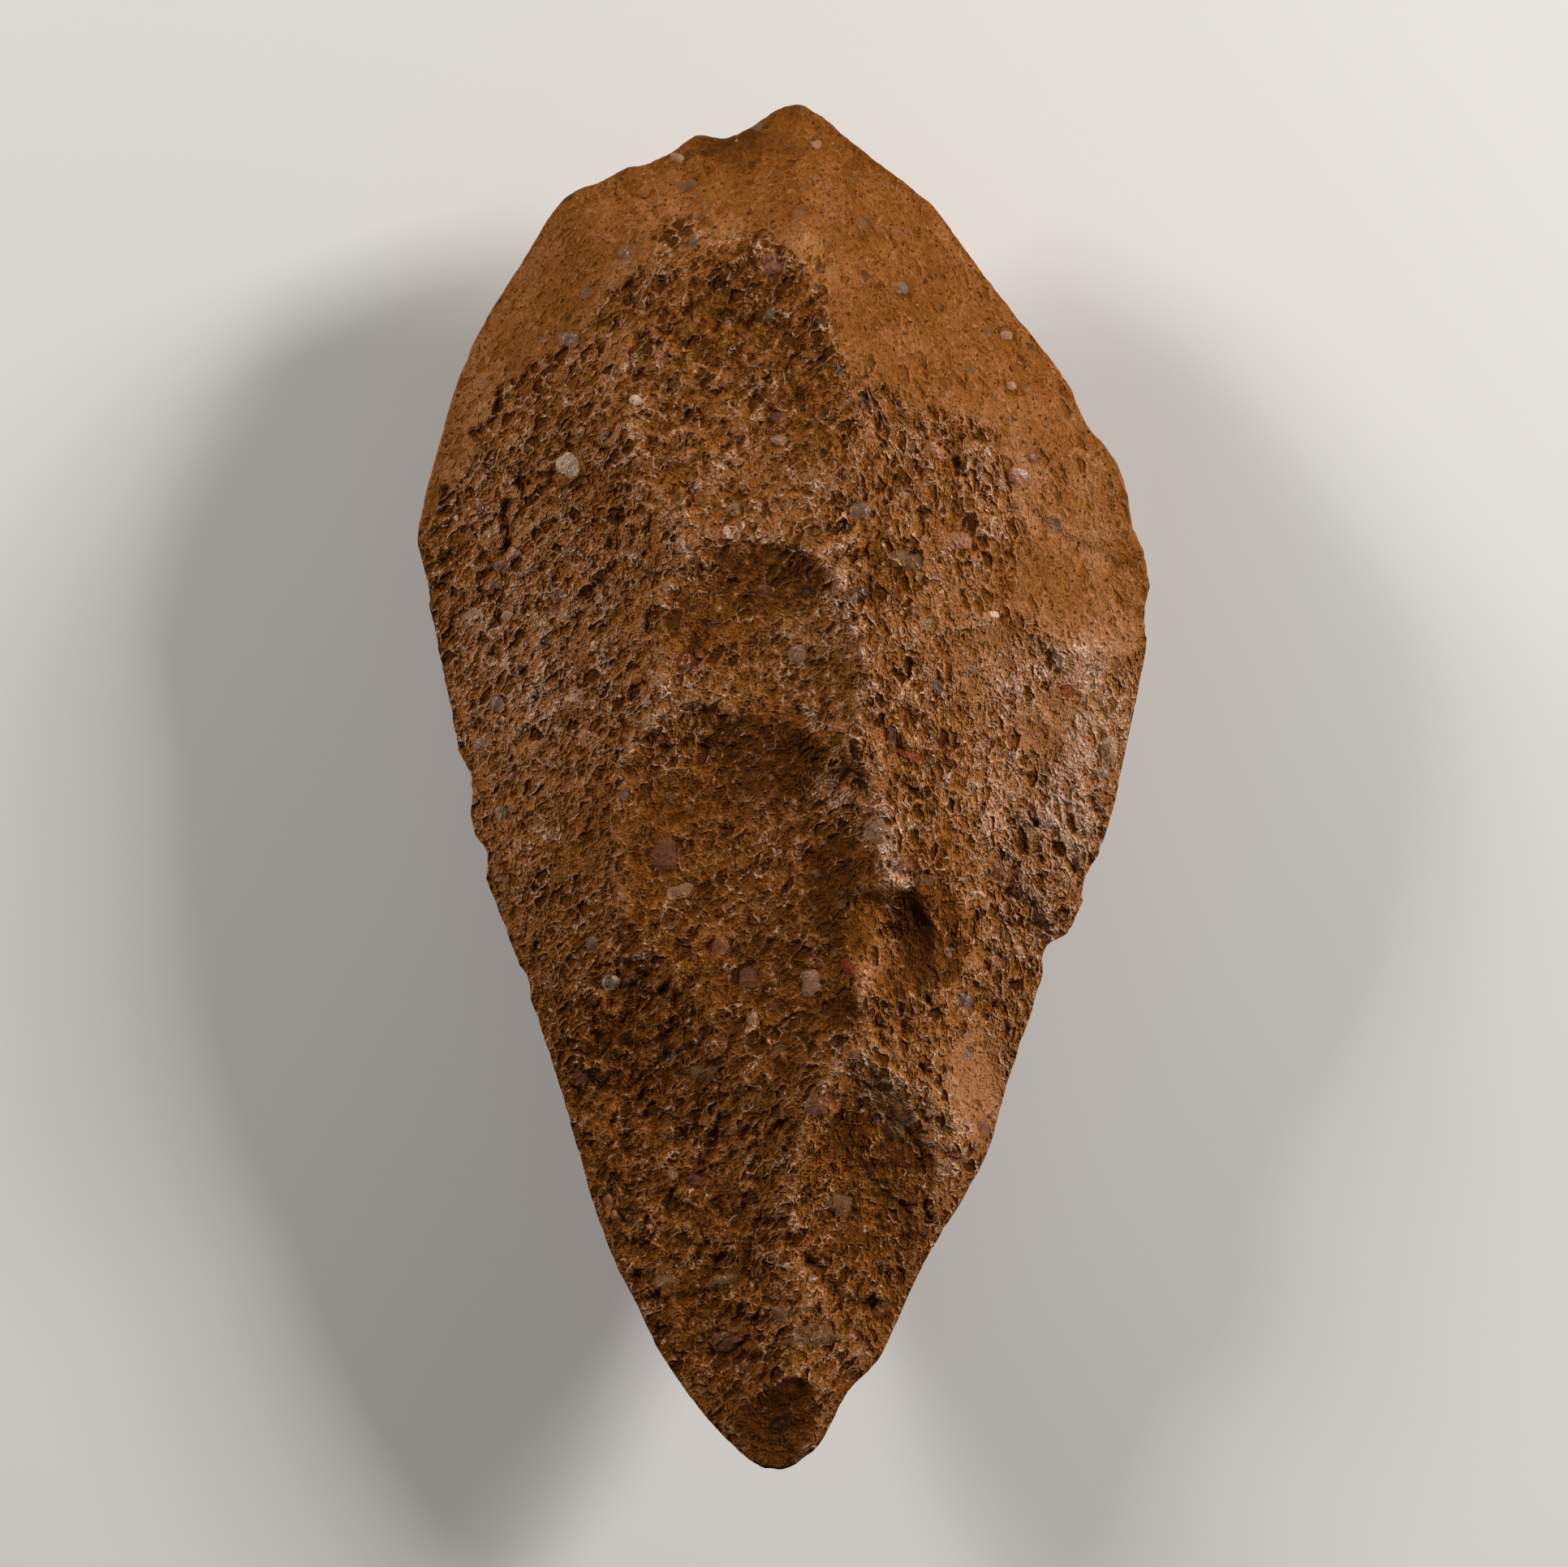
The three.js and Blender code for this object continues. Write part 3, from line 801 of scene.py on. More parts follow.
@dataclass
class Relief:
    """The broken surface of the stone, added to a face: lumps, streaks and pits, in mm."""

    LUMP_SIZE: ClassVar[float] = 6.0
    SWELL_SIZE: ClassVar[float] = 8.0
    BEND_SIZE: ClassVar[float] = 2.6

    noise: Noise
    layer: int
    lump: float = 0.60
    streak: float = 0.40
    scallop: float = 0.50
    knob: float = 0.75
    shard: float = 0.55
    pit: float = 0.40
    calm: float = 0.16

    def height(self, x: Array, y: Array, ground: Surface) -> Array:
        """Adds lumps, which are layered noise, and the broken grain of each side of the face,
        blended across the middle. All but a calm swell grow with the grain.

        Args:
            x: Places, in mm.
            y: Places, in mm.
            ground: The face's grain and side.

        Returns:
            Heights to add, in mm.
        """
        lumps = self.noise.layered(x / self.LUMP_SIZE, y / self.LUMP_SIZE, self.layer, 3)
        left = self.broken(x, y, math.radians(STREAKS[0]), self.scallop)
        right = self.broken(x, y, math.radians(STREAKS[1]), -self.knob)
        rough = self.lump * lumps + left + ground.side * (right - left)
        swell = self.noise.layered(x / self.SWELL_SIZE, y / self.SWELL_SIZE, self.layer + 40, 4, 0.55)
        return ground.grain * rough + (1 - ground.grain) * self.calm * swell

    def broken(self, x: Array, y: Array, bearing: float, scallop: float) -> Array:
        """Broken grain along one bearing. Streaks are noise drawn out along it. Scallops and pits
        are cellular: low at each dot and sharp between dots, and every cell tilts its own way, as
        a shard of the break.

        Args:
            x: Places, in mm.
            y: Places, in mm.
            bearing: Which way the streaks run, in radians.
            scallop: Depth of the scallops, in mm. Under 0 they turn over into knobs.

        Returns:
            Heights to add, in mm.
        """
        along = x * math.cos(bearing) + y * math.sin(bearing)
        across = y * math.cos(bearing) - x * math.sin(bearing)
        bend = self.noise.layered(x / self.BEND_SIZE, y / self.BEND_SIZE, self.layer + 1, 3, 0.6)
        streaks = self.noise.layered(along / 4.6 + 0.3 * bend, across / 1.5, self.layer + 10, 2)
        big, _, big_lean = self.noise.cells(along / 3.6 + 0.5 * bend, across / 2.6, self.layer + 20)
        small, depth, small_lean = self.noise.cells(
            along / 1.9 + 0.45 * bend, across / 1.4 + 0.25 * bend, self.layer + 30
        )
        rough = self.streak * streaks + self.shard * (big_lean + 0.5 * small_lean)
        rough += scallop * (np.minimum(big, 1) ** 2 - 0.3)
        return rough + self.pit * (0.2 + 1.2 * depth**2) * (np.minimum(small, 0.9) ** 2 - 0.25)


@dataclass
class Pebbles:
    """All pebbles of one face. Each is a wavy, rounded box skewed its own way."""

    NO_PEBBLE: ClassVar[float] = -9.0
    TURN_STEP: ClassVar[float] = 2.4
    SWIRL: ClassVar[float] = 0.35
    CORNER: ClassVar[float] = 2.4
    REACH: ClassVar[float] = 1.3
    RIM_BLEND: ClassVar[tuple[float, float]] = (-0.08, 0.22)

    noise: Noise
    pebbles: tuple[Pebble, ...]
    dome: float = 0.12
    moat: float = 0.16
    moat_place: float = -0.15
    moat_width: float = 0.3
    wave: float = 0.60
    wave_size: float = 1.9
    inside: Array = field(init=False)
    colour: Array = field(init=False)

    def press_in(self, x: Array, y: Array, height: Array) -> Array:
        """Sets each pebble in the stone: inside its wavy ellipse the surface is a low, smooth
        dome about the local height, with a shallow moat round it.

        Args:
            x: Places, in mm.
            y: Places, in mm.
            height: The surface so far, in mm.

        Returns:
            The surface with the pebbles in it. `inside` keeps how far inside a pebble each place
            is, in mm, and `colour` the colour of the nearest one.
        """
        self.inside = np.full_like(x, self.NO_PEBBLE)
        self.colour = np.zeros((*x.shape, 3))
        wave = self.noise.layered(x / self.wave_size, y / self.wave_size, Layer.PEBBLE_RIM, 3, 0.6)
        result = height.copy()
        for number, pebble in enumerate(self.pebbles):
            turn = self.TURN_STEP * number
            dx, dy = x - pebble.x, y - pebble.y
            near = np.hypot(dx, dy) < self.REACH * max(pebble.length, pebble.height)
            if not near.any():
                continue
            dx, dy, ground = dx[near], dy[near], result[near]
            swirl = self.SWIRL * math.sin(turn)
            across = (dx + swirl * dy) / (pebble.length / 2)
            along = (dy - swirl * dx) / (pebble.height / 2)
            reach = (np.abs(across) ** self.CORNER + np.abs(along) ** self.CORNER) ** (1 / self.CORNER)
            half = min(pebble.length, pebble.height) / 2
            signed = (1 - reach + self.wave * wave[near]) * half
            body = ease(*self.RIM_BLEND, signed)
            weight = body + 1e-6
            level = float((ground * weight).sum() / weight.sum())
            tilt_x, tilt_y = self.plane(dx, dy, ground - level, weight)
            crown = level + tilt_x * dx + tilt_y * dy + self.dome * (1 - reach**2)
            moat = self.moat * np.exp(-(((signed - self.moat_place) / self.moat_width) ** 2))
            result[near] = ground + body * (crown - ground) - moat
            closer = signed > self.inside[near]
            self.inside[near] = np.where(closer, signed, self.inside[near])
            self.colour[near] = np.where(closer[:, None], pebble.tone.value, self.colour[near])
        return result

    @staticmethod
    def plane(x: Array, y: Array, z: Array, weight: Array) -> tuple[float, float]:
        """Slopes of the plane that fits the places best by least squares.

        Args:
            x: Places from the middle.
            y: Places from the middle.
            z: Heights from their mean.
            weight: Weight of each place.

        Returns:
            The slopes along x and y.
        """
        xx, xy, yy = (weight * x * x).sum(), (weight * x * y).sum(), (weight * y * y).sum()
        xz, yz = (weight * x * z).sum(), (weight * y * z).sum()
        spread = xx * yy - xy * xy + 1e-9
        return (xz * yy - yz * xy) / spread, (yz * xx - xz * xy) / spread


@dataclass(frozen=True)
class StoneFinish:
    """Colours and gloss of the patinated quartzite. A pair of numbers is for hollows and crests."""

    ochre: Colour = linear(158, 97, 43)
    smooth_ochre: Colour = linear(156, 101, 56)
    brown: Colour = linear(122, 68, 14)
    # `deep` is deep patina and painted shade in beds, pores and hollows; `crest` is worn crests with
    # painted highlight on them.
    deep: Colour = linear(84, 43, 4)
    crest: Colour = linear(202, 158, 126)
    speck: Colour = linear(48, 28, 14)
    roughness: tuple[float, float] = (0.66, 0.38)
    specular: tuple[float, float] = (0.05, 0.45)
    pebble_polish: float = 0.14


@dataclass(frozen=True)
class FineRelief:
    """Relief that is bump only: pitches in cells to the millimetre, heights in millimetres."""

    drift_pitch: float = 0.8
    drift: float = 1.2
    net_pitches: tuple[float, float] = (0.70, 1.55)
    bed_heights: tuple[float, float] = (-1.20, -0.50)
    crest_heights: tuple[float, float] = (0.32, 0.16)
    pore_height: float = -0.28
    hole_height: float = -0.60
    sand_pitch: float = 2.8
    sand_height: float = 0.38
    pebble_share: float = 0.25


@dataclass(frozen=True)
class PatinaAndShading:
    """How much each thing adds to how pale the colour is, from 0, deep brown, to 1, crest: the patina's
    own tone, with painted shade in the beds, pores, holes and hollows of the relief and painted highlight
    on its crests and ridges.
    """

    tone_and_shading: float = 0.26
    slow_patches: tuple[float, float] = (0.42, 0.56)
    # Painted shade in the beds, holes and pores of the fine relief, and painted highlight on its crests.
    beds: tuple[float, float] = (-0.85, -0.50)
    beds_lift: float = 0.10
    crests: tuple[float, float] = (0.74, 0.50)
    sand: float = 0.75
    # Painted shade in the mesh's hollows and painted highlight on its ridges, partly deep patina and worn
    # edges.
    hollow_shade_and_ridge_light: tuple[float, float] = (-0.29, 0.21)
    hole: float = -0.45
    pore: float = -0.40
    rough_pore: float = -0.15


class Nodes:
    """Short ways to put shader nodes into a tree and to link them."""

    DRAWN: ClassVar[tuple[float, float, float]] = (0.55, 1, 1)

    def __init__(self, tree: bpy.types.NodeTree) -> None:
        """Keeps the tree."""
        self.tree = tree

    def add(self, kind: str, **settings: str) -> bpy.types.Node:
        """Adds a node and sets its properties.

        Args:
            kind: The node's type name, without "ShaderNode".
            **settings: Properties of the node.

        Returns:
            The node.
        """
        node = self.tree.nodes.new("ShaderNode" + kind)
        for name, value in settings.items():
            setattr(node, name, value)
        return node

    def feed(self, socket: Socket, value: Value | tuple[float, ...]) -> None:
        """Links a socket to another socket, or sets its value."""
        if isinstance(value, Socket):
            self.tree.links.new(value, socket)
        else:
            socket.default_value = value

    def math(self, operation: str, *values: Value) -> Socket:
        """A Math node on sockets or numbers."""
        node = self.add("Math", operation=operation)
        for socket, value in zip(node.inputs, values):
            self.feed(socket, value)
        return node.outputs[0]

    def total(self, *terms: tuple[Value, Value], start: Value = 0.0) -> Socket:
        """The start, plus the product of each term's two values."""
        for first, second in terms:
            start = self.math("MULTIPLY_ADD", first, second, start)
        return start

    def grade(self, value: Value, low: Value, high: Value, to_low: Value = 0, to_high: Value = 1) -> Socket:
        """A smooth step from low to high, as a Map Range node."""
        node = self.add("MapRange", interpolation_type="SMOOTHSTEP")
        for socket, given in zip(node.inputs, (value, low, high, to_low, to_high)):
            self.feed(socket, given)
        return node.outputs["Result"]

    def blend(self, share: Value, first: Socket | Colour, second: Socket | Colour) -> Socket:
        """A mix of two colours, or of two places, from first to second by share."""
        node = self.add("Mix", data_type="RGBA")
        self.feed(node.inputs["Factor"], share)
        for socket, colour in ((node.inputs[6], first), (node.inputs[7], second)):
            self.feed(socket, colour if isinstance(colour, Socket) else (*colour, 1))
        return node.outputs[2]

    def vector(self, operation: str, *values: Value | tuple[float, ...]) -> Socket:
        """A Vector Math node on places."""
        node = self.add("VectorMath", operation=operation)
        sockets = (node.inputs[0], node.inputs["Scale"]) if operation == "SCALE" else node.inputs
        for socket, value in zip(sockets, values):
            self.feed(socket, value)
        return node.outputs[0]

    def attribute(self, name: str, output: str = "Fac") -> Socket:
        """A value or colour kept on the mesh."""
        return self.add("Attribute", attribute_name=name).outputs[output]

    def noise(
        self, place: Socket, scale: float, detail: float, roughness: float = 0.5, output: str = "Fac"
    ) -> Socket:
        """Values, or colours, of a noise texture."""
        node = self.add("TexNoise")
        given = {"Vector": place, "Scale": scale, "Detail": detail, "Roughness": roughness}
        for name, value in given.items():
            self.feed(node.inputs[name], value)
        return node.outputs[output]

    def dots(self, place: Socket, scale: float) -> tuple[Socket, list[Socket]]:
        """Dots strewn over the stone, one to a cell.

        Args:
            place: Places, in mm.
            scale: Cells to the millimetre.

        Returns:
            The distance to the nearest dot, in cells, and three random numbers that it owns.
        """
        node = self.add("TexVoronoi")
        self.feed(node.inputs["Vector"], place)
        self.feed(node.inputs["Scale"], scale)
        own = self.add("SeparateColor")
        self.feed(own.inputs[0], node.outputs["Color"])
        return node.outputs["Distance"], list(own.outputs)

    def spots(self, place: Socket, scale: float, rarity: float, reach: Value, rim: float) -> Socket:
        """Spots at the dots whose first number is over the rarity, growing with it.

        Args:
            place: Places, in mm.
            scale: Cells to the millimetre.
            rarity: Share of the cells that stay empty.
            reach: Largest radius, in cells.
            rim: Share of the radius that is full depth.

        Returns:
            1 in a spot, 0 outside it, with an even slope at its rim.
        """
        distance, own = self.dots(place, scale)
        radius = self.grade(own[0], rarity, 1.0, 0.02, reach)
        return self.grade(self.math("DIVIDE", distance, radius), 1.0, rim)

    def net(self, place: Socket, scale: float) -> tuple[Socket, Socket]:
        """A net of crests round the beds of plucked grains.

        Args:
            place: Places, in mm.
            scale: Cells to the millimetre.

        Returns:
            How deep each place is in its bed, 0 to 1, with every bed's own depth, and how near to
            a crest line, 0 to 1.
        """
        lines = self.add("TexVoronoi", feature="DISTANCE_TO_EDGE")
        self.feed(lines.inputs["Vector"], place)
        self.feed(lines.inputs["Scale"], scale)
        border = lines.outputs["Distance"]
        _, own = self.dots(place, scale)
        depth = self.math("MULTIPLY_ADD", self.math("POWER", own[0], 4.0), 0.9, 0.1)
        line = self.math("MULTIPLY", self.grade(border, 0.12, 0.0), self.grade(own[1], 0.35, 0.95))
        return self.math("MULTIPLY", self.grade(border, 0.0, 0.30), depth), line

    def drawn_out(self, place: Socket, bearing: float) -> Socket:
        """Places drawn out along a bearing, in degrees."""
        turned = self.add("VectorRotate", rotation_type="Z_AXIS")
        self.feed(turned.inputs["Vector"], place)
        self.feed(turned.inputs["Angle"], math.radians(-bearing))
        return self.vector("MULTIPLY", turned.outputs[0], self.DRAWN)


class StoneMaterial:
    """The patinated quartzite: patina and painted light and shade by tone and patches, deep brown
    in hollows and pale crests that are partly patina and wear and partly painted shade and highlight,
    dark specks and pebbles, with pits and sand grains as bump."""

    SLOW_PITCH = 0.13
    ODD_GRAINS = ((1.1, 0.36, 0.75), (0.62, 0.32, 0.70), (0.36, 0.34, 0.60))
    ODD_TONES = ((1, 0.40, Tone.GREY), (1, 0.62, Tone.OLIVE), (2, 0.88, Tone.CREAM))
    ODD_BLEND = 0.06

    def __init__(self, finish: StoneFinish, relief: FineRelief, patina: PatinaAndShading) -> None:
        """Makes the material, and the textures that its relief and its patina share.

        Args:
            finish: The stone's colours and gloss.
            relief: Pitches and heights of the relief that is bump only.
            patina: How much each thing adds to how pale the colour is, painted shade and highlight
                included.
        """
        self.finish, self.relief, self.patina = finish, relief, patina
        self.material = bpy.data.materials.new("patinated_quartzite")
        self.material.use_nodes = True
        self.material.node_tree.nodes.clear()
        self.nodes = n = Nodes(self.material.node_tree)
        self.in_mm = n.vector("SCALE", n.add("TexCoord").outputs["Object"], 1 / MM)
        drift = n.noise(self.in_mm, relief.drift_pitch, 2, output="Color")
        self.place = n.vector("MULTIPLY_ADD", drift, (relief.drift,) * 3, self.in_mm)
        self.grain = n.attribute("grain")
        self.fray = n.grade(self.grain, 0.0, 0.55)
        self.rough = n.total((self.fray, 0.52), start=0.48)
        self.pebble = n.grade(n.attribute("pebble_inside"), -0.04, 0.10)
        self.sand = n.noise(self.place, relief.sand_pitch, 2, 0.55)
        self.tatters = n.noise(self.place, 0.9, 4, 0.7)
        self.beds, self.crests = self.nets()
        self.pore, self.hole = self.pits()

    def nets(self) -> tuple[tuple[Socket, ...], tuple[Socket, ...]]:
        """The large and the small net of plucked grains, each along the bearing of its side of the
        face, with a frayed border between the sides.

        Returns:
            The beds of both nets, and their crests.
        """
        n = self.nodes
        frayed = n.math("ADD", n.attribute("side"), n.math("SUBTRACT", self.tatters, 0.5))
        drawn = [n.drawn_out(self.place, bearing) for bearing in STREAKS]
        place = n.blend(n.grade(frayed, 0.49, 0.51), *drawn)
        beds, crests = zip(*(n.net(place, pitch) for pitch in self.relief.net_pitches))
        return beds, crests

    def pits(self) -> tuple[Socket, Socket]:
        """Pores, which are larger where the grain is rough, with pinpricks, and wide holes."""
        n = self.nodes
        pore = n.spots(self.place, 1.35, 0.45, n.grade(self.grain, 0, 1, 0.35, 0.44), 0.5)
        prick = n.spots(self.place, 2.7, 0.50, 0.44, 0.5)
        hole = n.spots(self.place, 0.55, 0.60, 0.45, 0.3)
        return n.math("MAXIMUM", pore, n.math("MULTIPLY", prick, 0.8)), hole

    def bump(self) -> Socket:
        """The fine relief as a normal: nets where the grain is rough, pits and sand grains, all
        weaker on the pebbles."""
        n, relief = self.nodes, self.relief
        net = n.total(*zip(self.beds + self.crests, relief.bed_heights + relief.crest_heights))
        height = n.total(
            (net, self.fray),
            (n.math("MULTIPLY", self.pore, relief.pore_height), n.math("ADD", self.grain, 0.45)),
            (n.math("MULTIPLY", self.hole, relief.hole_height), self.grain),
            (n.math("MULTIPLY", self.sand, relief.sand_height), self.rough),
        )
        calm = n.total((self.pebble, relief.pebble_share - 1), start=1.0)
        bump = n.add("Bump")
        n.feed(bump.inputs["Strength"], 1.0)
        n.feed(bump.inputs["Distance"], MM)
        n.feed(bump.inputs["Height"], n.math("MULTIPLY", height, calm))
        return bump.outputs["Normal"]

    def paleness(self) -> Socket:
        """How pale the colour is: the tone of the scars and patches, which is partly patina and partly
        painted light and shade, slow patches, and how far each place stands out of the fine relief and of
        the mesh, which paints shade in beds, pores, holes and hollows and highlight on crests and ridges."""
        n, patina = self.nodes, self.patina
        slow = n.grade(n.noise(self.in_mm, self.SLOW_PITCH, 4, 0.6), 0.30, 0.72, *patina.slow_patches)
        # Painted shade in the mesh's hollows and painted highlight on its ridges.
        raised = n.grade(n.attribute("hollow_shade_and_ridge_light"), -0.80, 0.80, *patina.hollow_shade_and_ridge_light)
        beds = n.total(*zip(self.beds, patina.beds), start=patina.beds_lift)
        crests = n.total(*zip(self.crests, patina.crests))
        ragged = n.grade(self.tatters, 0.40, 0.62)
        # Beds, holes and pores are darkened as painted shade, crests paled as painted highlight.
        return n.total(
            (n.attribute("tone"), patina.tone_and_shading),
            (n.total((crests, ragged), start=beds), self.fray),
            (n.math("SUBTRACT", self.sand, 0.5), n.math("MULTIPLY", self.rough, patina.sand)),
            (n.math("MULTIPLY", self.hole, self.grain), patina.hole),
            (self.pore, n.total((self.fray, patina.rough_pore), start=patina.pore)),
            start=n.math("ADD", slow, raised),
        )

    def colour(self, pale: Socket) -> Socket:
        """Deep brown, brown, ochre and crest colour by paleness: the deep brown carries painted shade as
        well as deep patina, the crest colour painted highlight as well as wear.
        """
        n, finish = self.nodes, self.finish
        colour = n.blend(n.grade(pale, 0.05, 0.40), finish.deep, finish.brown)
        ochre = n.blend(self.fray, finish.smooth_ochre, finish.ochre)
        colour = n.blend(n.grade(pale, 0.30, 0.66), colour, ochre)
        return n.blend(n.grade(pale, 0.68, 1.00), colour, finish.crest)

    def with_odd_grains(self, colour: Socket) -> Socket:
        """Strews grains of other stone in three sizes. Each dot takes a size and a colour of its
        own."""
        n = self.nodes
        for pitch, spread, strength in self.ODD_GRAINS:
            distance, own = n.dots(self.place, pitch)
            size = n.grade(own[0], 0.74, 1.0, 0.01, spread)
            speck = n.grade(n.math("DIVIDE", distance, size), 1.0, 0.8)
            other = self.finish.speck
            for number, low, tone in self.ODD_TONES:
                other = n.blend(n.grade(own[number], low, low + self.ODD_BLEND), other, tone.value)
            colour = n.blend(n.math("MULTIPLY", speck, strength), colour, other)
        return colour

    def with_pebbles(self, colour: Socket) -> Socket:
        """Lays in the pebbles' own colours, mottled, under a ragged veil of patina."""
        n = self.nodes
        veil = n.grade(n.noise(self.place, 0.9, 4, 0.65), 0.40, 0.62, 0.92, 0.45)
        mottle = n.grade(n.noise(self.place, 0.5, 3, 0.6), 0.3, 0.7, 0.70, 1.15)
        mottled = n.vector("SCALE", n.attribute("pebble_colour", "Color"), mottle)
        return n.blend(n.math("MULTIPLY", self.pebble, veil), colour, mottled)

    def build(self) -> bpy.types.Material:
        """Joins relief, colour and gloss.

        Returns:
            The material.
        """
        n, finish = self.nodes, self.finish
        pale = self.paleness()
        shade = n.add("BsdfPrincipled")
        n.feed(shade.inputs["Base Color"], self.with_pebbles(self.with_odd_grains(self.colour(pale))))
        gloss = n.grade(pale, 0.40, 0.90, *finish.roughness)
        n.feed(shade.inputs["Roughness"], n.total((self.pebble, -finish.pebble_polish), start=gloss))
        specular = shade.inputs["Specular IOR Level"]
        specular.default_value = sum(finish.specular) / 2
        n.feed(specular, n.grade(pale, 0.40, 0.90, *finish.specular))
        n.feed(shade.inputs["Normal"], self.bump())
        out = n.add("OutputMaterial")
        n.feed(out.inputs["Surface"], shade.outputs["BSDF"])
        return self.material


Face = tuple[Array, dict[str, Array]]


class HandAxe:
    """The whole stone as one mesh: two faces that share the worked edge."""

    RIM_HEIGHT = 22.0
    SWAY = (1.1, 0.6)
    SWAY_REACH = 14.0
    NICK = 0.45
    NICK_REACH = 2.5
    RELIEF_FADE = 2.2
    LEAST_SLOPE = 0.10
    SLOPE_REACH = 40.0
    UNDERCUT = 0.45
    FACET_ROUGHNESS = 0.8
    HOLLOWS = ((0.70, 14), (0.35, 110))
    MAP_SPAN = 2.08

    def __init__(self) -> None:
        """Sets up the outline and the two faces from the frame's box."""
        low, high = (np.array(corner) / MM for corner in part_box("hand_axe"))
        self.size = high - low
        self.middle = (low + high) / 2
        self.noise = Noise(SEED)
        self.outline = Outline(self.noise)
        self.front = WorkedFace(
            self.outline, FRONT_SCARS, rise=0.86, fall_off=0.0042, crest_offset=6.0,
            patches=PATINA_AND_SHADING_PATCHES, border=SMOOTH_BORDER,
        )
        self.back = WorkedFace(self.outline, BACK_SCARS, rise=0.88, fall_off=0.0052, crest_offset=0.0)

    def plan(self, columns: int, rows: int) -> tuple[Array, Array]:
        """Bends a square grid into a disc and stretches it to the outline: the disc's place is
        (a √(1 - b²/2), b √(1 - a²/2)), and the stretch grows with the square of its radius.

        Args:
            columns: Cells across.
            rows: Cells along.

        Returns:
            Places in mm, as two arrays of rows + 1 by columns + 1.
        """
        a, b = np.meshgrid(np.linspace(-1, 1, columns + 1), np.linspace(-1, 1, rows + 1))
        disc_x, disc_y = a * np.sqrt(1 - b * b / 2), b * np.sqrt(1 - a * a / 2)
        x, y = self.size[0] / 2 * disc_x, self.size[1] / 2 * disc_y
        radius = np.hypot(disc_x, disc_y)
        plain = np.hypot(x, y) / np.maximum(radius, 1e-9)
        stretch = 1 + (self.outline.radius(np.arctan2(y, x)) / np.maximum(plain, 1e-9) - 1) * radius**2
        return x * stretch, y * stretch

    def edge_level(self, x: Array, y: Array, distance: Array) -> Array:
        """Level of the worked edge: slow waves round the outline that die away inside, with
        small nicks at the edge itself."""
        bearing = np.arctan2(y, x)
        sway = self.SWAY[0] * np.sin(2 * bearing + 0.7) + self.SWAY[1] * np.sin(3 * bearing + 2.1)
        nick = self.NICK * self.noise.layered(x / 5, y / 5, Layer.NICK, 3)
        nick = nick * np.exp(-distance / self.NICK_REACH)
        return self.RIM_HEIGHT + sway * np.exp(-((distance / self.SWAY_REACH) ** 2)) + nick

    def build(self) -> bpy.types.Object:
        """Works out both faces and joins them into the mesh.

        Returns:
            The stone.
        """
        columns, rows = TOP_CELLS
        x, y = self.plan(columns, rows)
        distance = self.edge_gap(x, y)
        level = self.edge_level(x, y, distance)
        upper, upper_marks = self.upper_face(x, y, distance, level)
        coarse = np.s_[::2, ::2]
        lower, lower_marks = self.lower_face(x[coarse], y[coarse], distance[coarse], level[coarse])
        edge = np.ones(x.shape, bool)
        edge[1:-1, 1:-1] = False
        upper[edge] = level[edge]
        number = np.arange(x.size).reshape(x.shape)
        inner = ~edge[coarse]
        under = number[coarse].copy()
        under[inner] = x.size + np.arange(inner.sum())
        centre_x, centre_y = (x.min() + x.max()) / 2, (y.min() + y.max()) / 2
        scale_x, scale_y = self.size[0] / np.ptp(x), self.size[1] / np.ptp(y)

        def placed(px: Array, py: Array, pz: Array) -> Array:
            """Points of the mesh, trimmed to the frame's box in plan."""
            plan_x = (px - centre_x) * scale_x + self.middle[0]
            plan_y = (py - centre_y) * scale_y + self.middle[1]
            return np.stack([plan_x, plan_y, pz], axis=-1).reshape(-1, 3) * MM

        points = np.concatenate([
            placed(x, y, upper),
            placed(x[coarse][inner], y[coarse][inner], lower[inner]),
        ])
        triangles = np.concatenate([self.upper_faces(number), self.lower_faces(number, under)])
        stone = self.mesh_object("hand_axe_stone", points, triangles)
        for name, top_values in upper_marks.items():
            values = np.concatenate([
                top_values.reshape(x.size, -1),
                lower_marks[name][inner].reshape(int(inner.sum()), -1),
            ])
            self.mark(stone.data, name, values)
        self.bake_map(stone.data, len(self.upper_faces(number)))
        return stone

    def edge_gap(self, x: Array, y: Array) -> Array:
        """Distance to the ring, brought to nothing on the outermost points."""
        distance = self.outline.distance(x, y)
        inner = np.zeros_like(distance)
        inner[1:-1, 1:-1] = 1
        return distance * inner

    def least(self, distance: Array) -> Array:
        """Least height of a face over the edge's level, in mm, so that it never folds over."""
        return self.LEAST_SLOPE * distance * np.exp(-distance / self.SLOPE_REACH)

